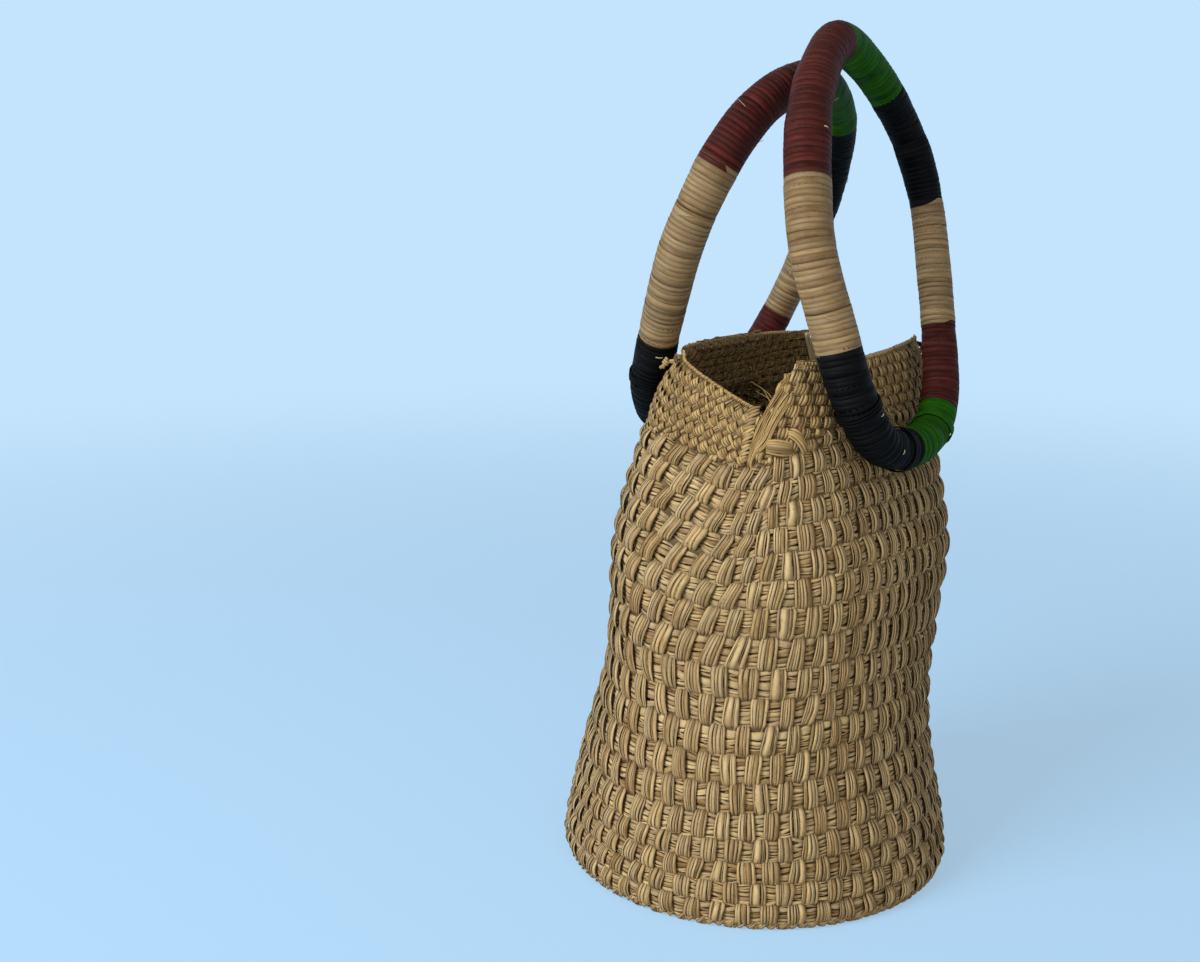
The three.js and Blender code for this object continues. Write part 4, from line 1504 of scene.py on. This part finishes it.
@dataclass(frozen=True)
class RingPath:
    """Centreline of a ring in a leaning plane: a closed centripetal Catmull-Rom curve."""

    side: float
    plane_y: float
    lean: float
    points: tuple[tuple[float, float], ...]
    lengths: tuple[float, ...]
    plane_height: float = 260.0
    grips: tuple[float, ...] = (10.2, 9.3, 8.8, 9.0, 9.8, 10.3, 11.0, 11.2)
    step: float = 0.002

    @property
    def up(self) -> Array:
        """Direction up the plane."""
        lean = math.radians(self.lean)
        return np.array([0.0, self.side * math.sin(lean), math.cos(lean)])

    @property
    def square(self) -> Array:
        """Direction square to the plane."""
        lean = math.radians(self.lean)
        return np.array([0.0, -self.side * math.cos(lean), math.sin(lean)])

    def line(self, per_span: int = 160) -> Array:
        """Dense points of the curve: on each span a cubic whose end slopes weigh the chords.

        A span's own parameter is the square root of its chord. The slope at a point is
        (b - a) / d0 - (c - a) / (d0 + d1) + (c - b) / d1, times the span's parameter.
        """
        flat = np.array(self.points, float)
        places = np.array([0.0, self.plane_y, self.plane_height]) + flat[:, 1:2] * self.up
        places[:, 0] = flat[:, 0]
        a, b, c, d = (np.roll(places, shift, axis=0) for shift in (1, 0, -1, -2))
        gaps = [np.sqrt(np.linalg.norm(q - p, axis=-1, keepdims=True)) for p, q in ((a, b), (b, c), (c, d))]
        start = ((b - a) / gaps[0] - (c - a) / (gaps[0] + gaps[1]) + (c - b) / gaps[1]) * gaps[1]
        end = ((c - b) / gaps[1] - (d - b) / (gaps[1] + gaps[2]) + (d - c) / gaps[2]) * gaps[1]
        t = (np.arange(per_span) / per_span)[None, :, None]
        b, c, start, end = (part[:, None, :] for part in (b, c, start, end))
        span = b + start * t + (3 * (c - b) - 2 * start - end) * t**2 + (2 * (b - c) + start + end) * t**3
        return span.reshape(-1, 3)

    def table(self) -> tuple[Array, Array, float]:
        """Points of the curve, their share of its length, and its length."""
        line = self.line()
        line = np.concatenate([line, line[:1]])
        way = np.concatenate([[0.0], np.cumsum(np.linalg.norm(np.diff(line, axis=0), axis=-1))])
        return line, way / way[-1], float(way[-1])

    def at(self, share: Array, table: tuple[Array, Array, float]) -> tuple[Array, Array, Array]:
        """Centre, direction of travel and outward direction in the plane, at shares of the length."""
        line, way, _ = table
        centre, before, after = (
            np.stack([np.interp((share + step) % 1.0, way, line[:, axis]) for axis in range(3)], axis=-1)
            for step in (0.0, -self.step, self.step)
        )
        along = unit(after - before)
        return centre, along, unit(np.cross(along, self.square))

    def starts(self) -> Array:
        """Share of the length at which each wound section starts, and the end."""
        return np.concatenate([[0.0], np.cumsum(self.lengths) / sum(self.lengths)])

    def grip(self, share: Array) -> Array:
        """Outer radius of the grip, eased between the starts of the sections."""
        wrapped = share % 1.0
        starts = self.starts()
        k = np.clip(np.searchsorted(starts, wrapped, side="left") - 1, 0, len(self.grips) - 1)
        ease = smooth((wrapped - starts[k]) / (starts[k + 1] - starts[k]))
        radii = np.array(self.grips)
        return radii[k] * (1 - ease) + radii[(k + 1) % len(radii)] * ease


RINGS = {
    "front": RingPath(
        1.0,
        -80.3,
        14.0,
        (
            (0, 175), (24, 166), (45, 148), (61, 123), (66, 95), (61, 62), (53, 27), (42, -4), (24, -21),
            (-8, -26), (-35, -18), (-50, 6), (-57, 40), (-62, 75), (-56, 104), (-42, 138), (-23, 161),
        ),
        (50, 61, 64, 47, 45, 80, 80, 90),
    ),
    "back": RingPath(
        -1.0,
        51.5,
        24.5,
        (
            (14, 168), (39, 160), (57, 147), (70, 126), (78, 100), (81, 67), (79, 31), (68, -2), (48, -22),
            (20, -29), (-7, -24), (-27, -5), (-38, 26), (-45, 52), (-50, 78), (-49, 104), (-43, 130),
            (-30, 151), (-9, 164),
        ),
        (48, 56, 62, 45, 43, 90, 98, 80),
    ),
}

SPECKS = {
    "front": ((0.605, 92.0, 2.4), (0.558, 112.0, 2.2), (0.87, 100.0, 2.2)),
    "back": ((0.652, 312.0, 3.4),),
}

WINDINGS = (
    ("top_green", Dye.GREEN),
    ("upper_black", Dye.BLACK),
    ("side_natural", Dye.NATURAL),
    ("lower_brown", Dye.BROWN),
    ("bottom_green", Dye.GREEN),
    ("lower_black", Dye.BLACK),
    ("long_natural", Dye.NATURAL),
    ("top_brown", Dye.BROWN),
)


@dataclass
class RingHandle(Maker):
    """Ring wound with raffia in eight sections, and the ties that sew it to its flap."""

    palette: Palette
    name: str
    ring: RingPath
    seed: int
    turn_pitch: float = 2.5
    steps_per_turn: int = 24
    strip_width: float = 3.7
    strand_depth: float = 0.3
    shingle: float = 0.035
    specks: tuple[tuple[float, float, float], ...] = ()
    ties: tuple[tuple[float, Dye], ...] = ((0.455, Dye.GREEN), (0.535, Dye.BLACK), (0.615, Dye.BLACK))
    tie_turns: int = 3

    def __post_init__(self) -> None:
        """Seeds the handle's own random numbers and measures its curve."""
        super().__post_init__()
        self.table = self.ring.table()

    def over(self, share: Array, angle: Array, radius: Array) -> tuple[Array, Array, Array]:
        """Places at an angle and a radius about the ring, with the ring's direction and the rays."""
        centre, along, out = self.ring.at(share, self.table)
        ray = turned(out, self.ring.square, angle)
        return centre + ray * radius[:, None], along, ray

    def winding(self, number: int) -> StrandMesh:
        """One section: a flat strand that climbs round the ring, a turn beside a turn.

        Place = centre + radius (out cos a + square sin a). The radius and the climb drift a little
        from turn to turn, and each turn is its own width.

        Args:
            number: which section, clockwise from the top.

        Returns:
            The strand.
        """
        mesh = StrandMesh(f"{self.name}_winding_{WINDINGS[number][0]}")
        start, end = self.ring.starts()[number : number + 2]
        turns = int(round((end - start) * self.table[2] / self.turn_pitch))
        way = np.linspace(-0.5, turns + 0.5, (turns + 1) * self.steps_per_turn + 1)
        to_end = np.minimum(way, turns - way)
        inside = np.clip(to_end, 0.0, 1.0)
        climb = self.drift(way * 1.3 + 1, 0.17) * inside
        share = start + (end - start) * (way + climb) / turns
        swell = self.drift(way + 1, 0.05) + self.drift(way / 5 + 1, 0.16) * inside
        radius = self.ring.grip(share) - 0.3 + swell - 0.35 * smooth(-to_end / 0.5)
        path, along, ray = self.over(share, 2 * np.pi * way, radius)
        wide = self.strip_width + self.drift(way + 1, 0.45).clip(-0.4, 0.9)
        slope = self.shingle + self.drift(way + 1, 0.03).clip(-0.03, 0.05)
        self.strand(mesh, path, unit(along + ray * slope[:, None]), wide, self.strand_depth, STRIP)
        tones = self.rng.random(turns + 3)
        values = mesh.fibres[0].reshape(-1, len(STRIP), 3)
        values[:, :, 2] = tones[np.floor(way + 1.25).astype(int)][:, None]
        return mesh

    def tie(self, number: int) -> StrandMesh:
        """Stitch in the winding's own colour: three turns round the grip, over the windings."""
        mesh = StrandMesh(f"{self.name}_stitch_{number + 1}")
        way = np.linspace(0, 1, self.tie_turns * 20 + 1)
        angle = 2 * np.pi * self.tie_turns * way
        shift = (way - 0.5) * 4.6 / self.table[2] + 1.1 / self.table[2] * np.cos(angle)
        share = self.ties[number][0] + shift
        path, along, _ = self.over(share, angle, self.ring.grip(share) + 0.62)
        self.strand(mesh, path, along, 1.5, 0.75, rounded(5, 0.25))
        return mesh

    def frays(self) -> StrandMesh:
        """Natural stitch ends that show on the dark windings, and a few split fibres that stand off.

        A stitch lies on the grip at its share and angle. A fibre leaves the grip and curls back.
        """
        mesh = StrandMesh(f"{self.name}_frays")
        t = np.linspace(0, 1, 7)
        for share, degrees, length in self.specks:
            turn = np.radians(degrees) + (t - 0.5) * length / 10.0
            self._fray(mesh, np.full(7, share), turn, 0.2 + 0.3 * np.sin(np.pi * t), 1.1)
        for share, start in zip(self.rng.random(7), self.rng.random(7) * 2 * np.pi):
            turn = start + t * self.rng.uniform(0.4, 0.9)
            self._fray(mesh, share + t * self.rng.uniform(-0.008, 0.008), turn, 0.1 + 1.1 * t, 0.28)
        return mesh

    def _fray(self, mesh: StrandMesh, share: Array, angle: Array, lift: Array, wide: float) -> None:
        """One short strand over the grip, thinner to its end."""
        path, along, _ = self.over(share, angle, self.ring.grip(share) + lift)
        width = wide * (1.0 - 0.5 * np.linspace(0, 1, len(angle)) ** 2)
        self.strand(mesh, path, along, width, 0.3, rounded(4))

    def build(self) -> list[Piece]:
        """Makes the windings and stitches and dresses the core that the frame keeps.

        Returns:
            The finished pieces.
        """
        made = []
        body = f"{self.name}_handle"
        for number, (part, dye) in enumerate(WINDINGS):
            piece = self.palette.dress(self.winding(number).write(), dye)
            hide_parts(f"{self.name}_wrap_{part}")
            made.append(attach(piece, body))
        for number, (_, dye) in enumerate(self.ties):
            piece = self.palette.dress(self.tie(number).write(), dye)
            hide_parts(f"{self.name}_sewn_tie_{number + 1}")
            made.append(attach(piece, body))
        made.append(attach(self.palette.dress(self.frays().write(), Dye.HEM), body))
        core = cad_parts[f"{self.name}_handle_core"]
        core.data.materials.clear()
        core.data.materials.append(self.palette.materials[Dye.CANE])
        return made


@dataclass
class Studio:
    """Pale floor and backdrop, soft light from the left, and the camera at the photograph's view."""

    place: tuple[float, float, float] = (-0.65483, -0.39346, 0.36856)
    heading: float = 37.457
    pitch_down: float = 12.095
    focal_pixels: float = 1450.0
    picture_width: float = 1200.0
    floor_colour: tuple[int, int, int] = (196, 228, 254)
    shade_colour: tuple[int, int, int] = (158, 210, 252)
    bounce_colour: tuple[int, int, int] = (214, 212, 206)
    shown_near: float = 0.58
    key_place: tuple[float, float, float] = (-1.75, 0.55, 1.35)
    key_power: float = 42.0
    fill_place: tuple[float, float, float] = (-1.2, -1.6, 1.0)
    fill_power: float = 7.0
    sky: float = 0.38
    sky_colour: tuple[float, float, float, float] = (1.0, 0.985, 0.96, 1.0)

    def camera(self) -> None:
        """Camera whose axes are the heading, the pitch and level ground, made the scene's own."""
        data = bpy.data.cameras.new("photo_camera")
        data.sensor_width = 36.0
        data.lens = data.sensor_width * self.focal_pixels / self.picture_width
        data.clip_start = 0.01
        data.clip_end = 50.0
        heading = math.radians(self.heading)
        down = math.radians(self.pitch_down)
        ahead = Vector((math.cos(heading) * math.cos(down), math.sin(heading) * math.cos(down), -math.sin(down)))
        right = Vector((math.sin(heading), -math.cos(heading), 0.0))
        up = right.cross(ahead)
        turned = Matrix((right, up, -ahead)).transposed().to_4x4()
        made = bpy.data.objects.new("photo_camera", data)
        made.matrix_world = Matrix.Translation(Vector(self.place)) @ turned
        bpy.context.scene.collection.objects.link(made)
        bpy.context.scene.camera = made

    def backdrop(self) -> None:
        """Floor that turns up into a wall all round, far behind: a profile turned about the centre."""
        angle = np.linspace(0, 2 * np.pi, 97)[:-1]
        bend = np.linspace(0, np.pi / 2, 15)
        radius = np.concatenate([[0.001, 2.0], 3.0 + 1.2 * np.sin(bend), [4.2]])
        height = np.concatenate([[0.0, 0.0], 1.2 - 1.2 * np.cos(bend), [3.2]])
        grid = about_axis(radius[:, None], angle, height[:, None])
        index = np.arange(grid.shape[0] * grid.shape[1]).reshape(grid.shape[:2])
        here, above = index[:-1], index[1:]
        quads = np.stack([here, np.roll(here, -1, 1), np.roll(above, -1, 1), above], axis=-1)
        mesh = bpy.data.meshes.new("backdrop")
        mesh.from_pydata(grid.reshape(-1, 3), [], quads.reshape(-1, 4)[:, ::-1])
        mesh.shade_smooth()
        made = bpy.data.objects.new("backdrop", mesh)
        bpy.context.scene.collection.objects.link(made)
        mesh.materials.append(self.paint())

    def paint(self) -> bpy.types.Material:
        """Pale paint that shows its own colour to the camera far from the bag, and keeps the shadow near it.

        Shown share = near share at the bag, easing to 1 two metres out, for camera, glossy and
        transmission rays only.
        """
        paint, tree, shader = new_material("backdrop_paint")
        shader["Roughness"].default_value = 0.9
        shader["Specular IOR Level"].default_value = 0.1
        glow = tree.nodes.new("ShaderNodeEmission")
        glow.inputs["Color"].default_value = linear(*self.floor_colour)
        rays = tree.nodes.new("ShaderNodeLightPath").outputs
        seen = maths(tree, "MAXIMUM", rays["Is Camera Ray"], rays["Is Glossy Ray"])
        seen = maths(tree, "MAXIMUM", seen, rays["Is Transmission Ray"])
        tint = blended(tree, seen, linear(*self.bounce_colour), linear(*self.shade_colour))
        wire(tree, tint, shader["Base Color"])
        away = tree.nodes.new("ShaderNodeVectorMath")
        away.operation = "LENGTH"
        wire(tree, tree.nodes.new("ShaderNodeTexCoord").outputs["Object"], away.inputs[0])
        reach = tree.nodes.new("ShaderNodeMapRange")
        reach.interpolation_type = "SMOOTHSTEP"
        wire(tree, away.outputs["Value"], reach.inputs["Value"])
        for name, value in (("From Min", 0.35), ("From Max", 1.9), ("To Min", self.shown_near), ("To Max", 1.0)):
            reach.inputs[name].default_value = value
        mixed = tree.nodes.new("ShaderNodeMixShader")
        wire(tree, maths(tree, "MULTIPLY", seen, reach.outputs["Result"]), mixed.inputs[0])
        wire(tree, tree.nodes["Principled BSDF"].outputs[0], mixed.inputs[1])
        wire(tree, glow.outputs[0], mixed.inputs[2])
        wire(tree, mixed.outputs[0], tree.nodes["Material Output"].inputs["Surface"])
        return paint

    def lamp(self, name: str, place: tuple[float, float, float], power: float, size: float) -> None:
        """Square soft lamp that looks at the middle of the bag."""
        data = bpy.data.lights.new(name, "AREA")
        data.energy = power
        data.size = size
        made = bpy.data.objects.new(name, data)
        made.location = place
        made.rotation_euler = (Vector((0, 0, 0.2)) - Vector(place)).to_track_quat("-Z", "Y").to_euler()
        bpy.context.scene.collection.objects.link(made)

    def build(self) -> None:
        """Sets up the stage, the lamps, the sky and the plain view settings."""
        self.camera()
        self.backdrop()
        self.lamp("key", self.key_place, self.key_power, 1.1)
        self.lamp("front_fill", self.fill_place, self.fill_power, 1.4)
        world = bpy.data.worlds.new("sky")
        world.use_nodes = True
        light = world.node_tree.nodes["Background"]
        light.inputs["Color"].default_value = self.sky_colour
        light.inputs["Strength"].default_value = self.sky
        bpy.context.scene.world = world
        bpy.context.scene.view_settings.view_transform = "Standard"


def triangles(piece: Piece) -> int:
    """Number of triangles that a piece's faces come to."""
    totals = np.zeros(len(piece.data.polygons), np.int32)
    piece.data.polygons.foreach_get("loop_total", totals)
    return int((totals - 2).sum())


def main() -> None:
    """Builds every part in order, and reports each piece."""
    logging.basicConfig(level=logging.INFO, format="%(name)s: %(message)s")
    Studio().build()
    palette = Palette()
    parts = [
        CoarseWall(palette),
        Foot(palette),
        *(CollarHalf(palette, side, seed=31 + i) for i, side in enumerate(SIDES)),
        *(RingHandle(palette, name, ring, 47 + i, specks=SPECKS[name]) for i, (name, ring) in enumerate(RINGS.items())),
    ]
    total = 0
    for part in parts:
        for piece in part.build():
            faces = triangles(piece)
            total += faces
            log.info("%s %s: %d triangles", type(part).__name__, piece.name, faces)
    log.info("all new pieces: %d triangles", total)


if __name__ == "__main__":
    main()
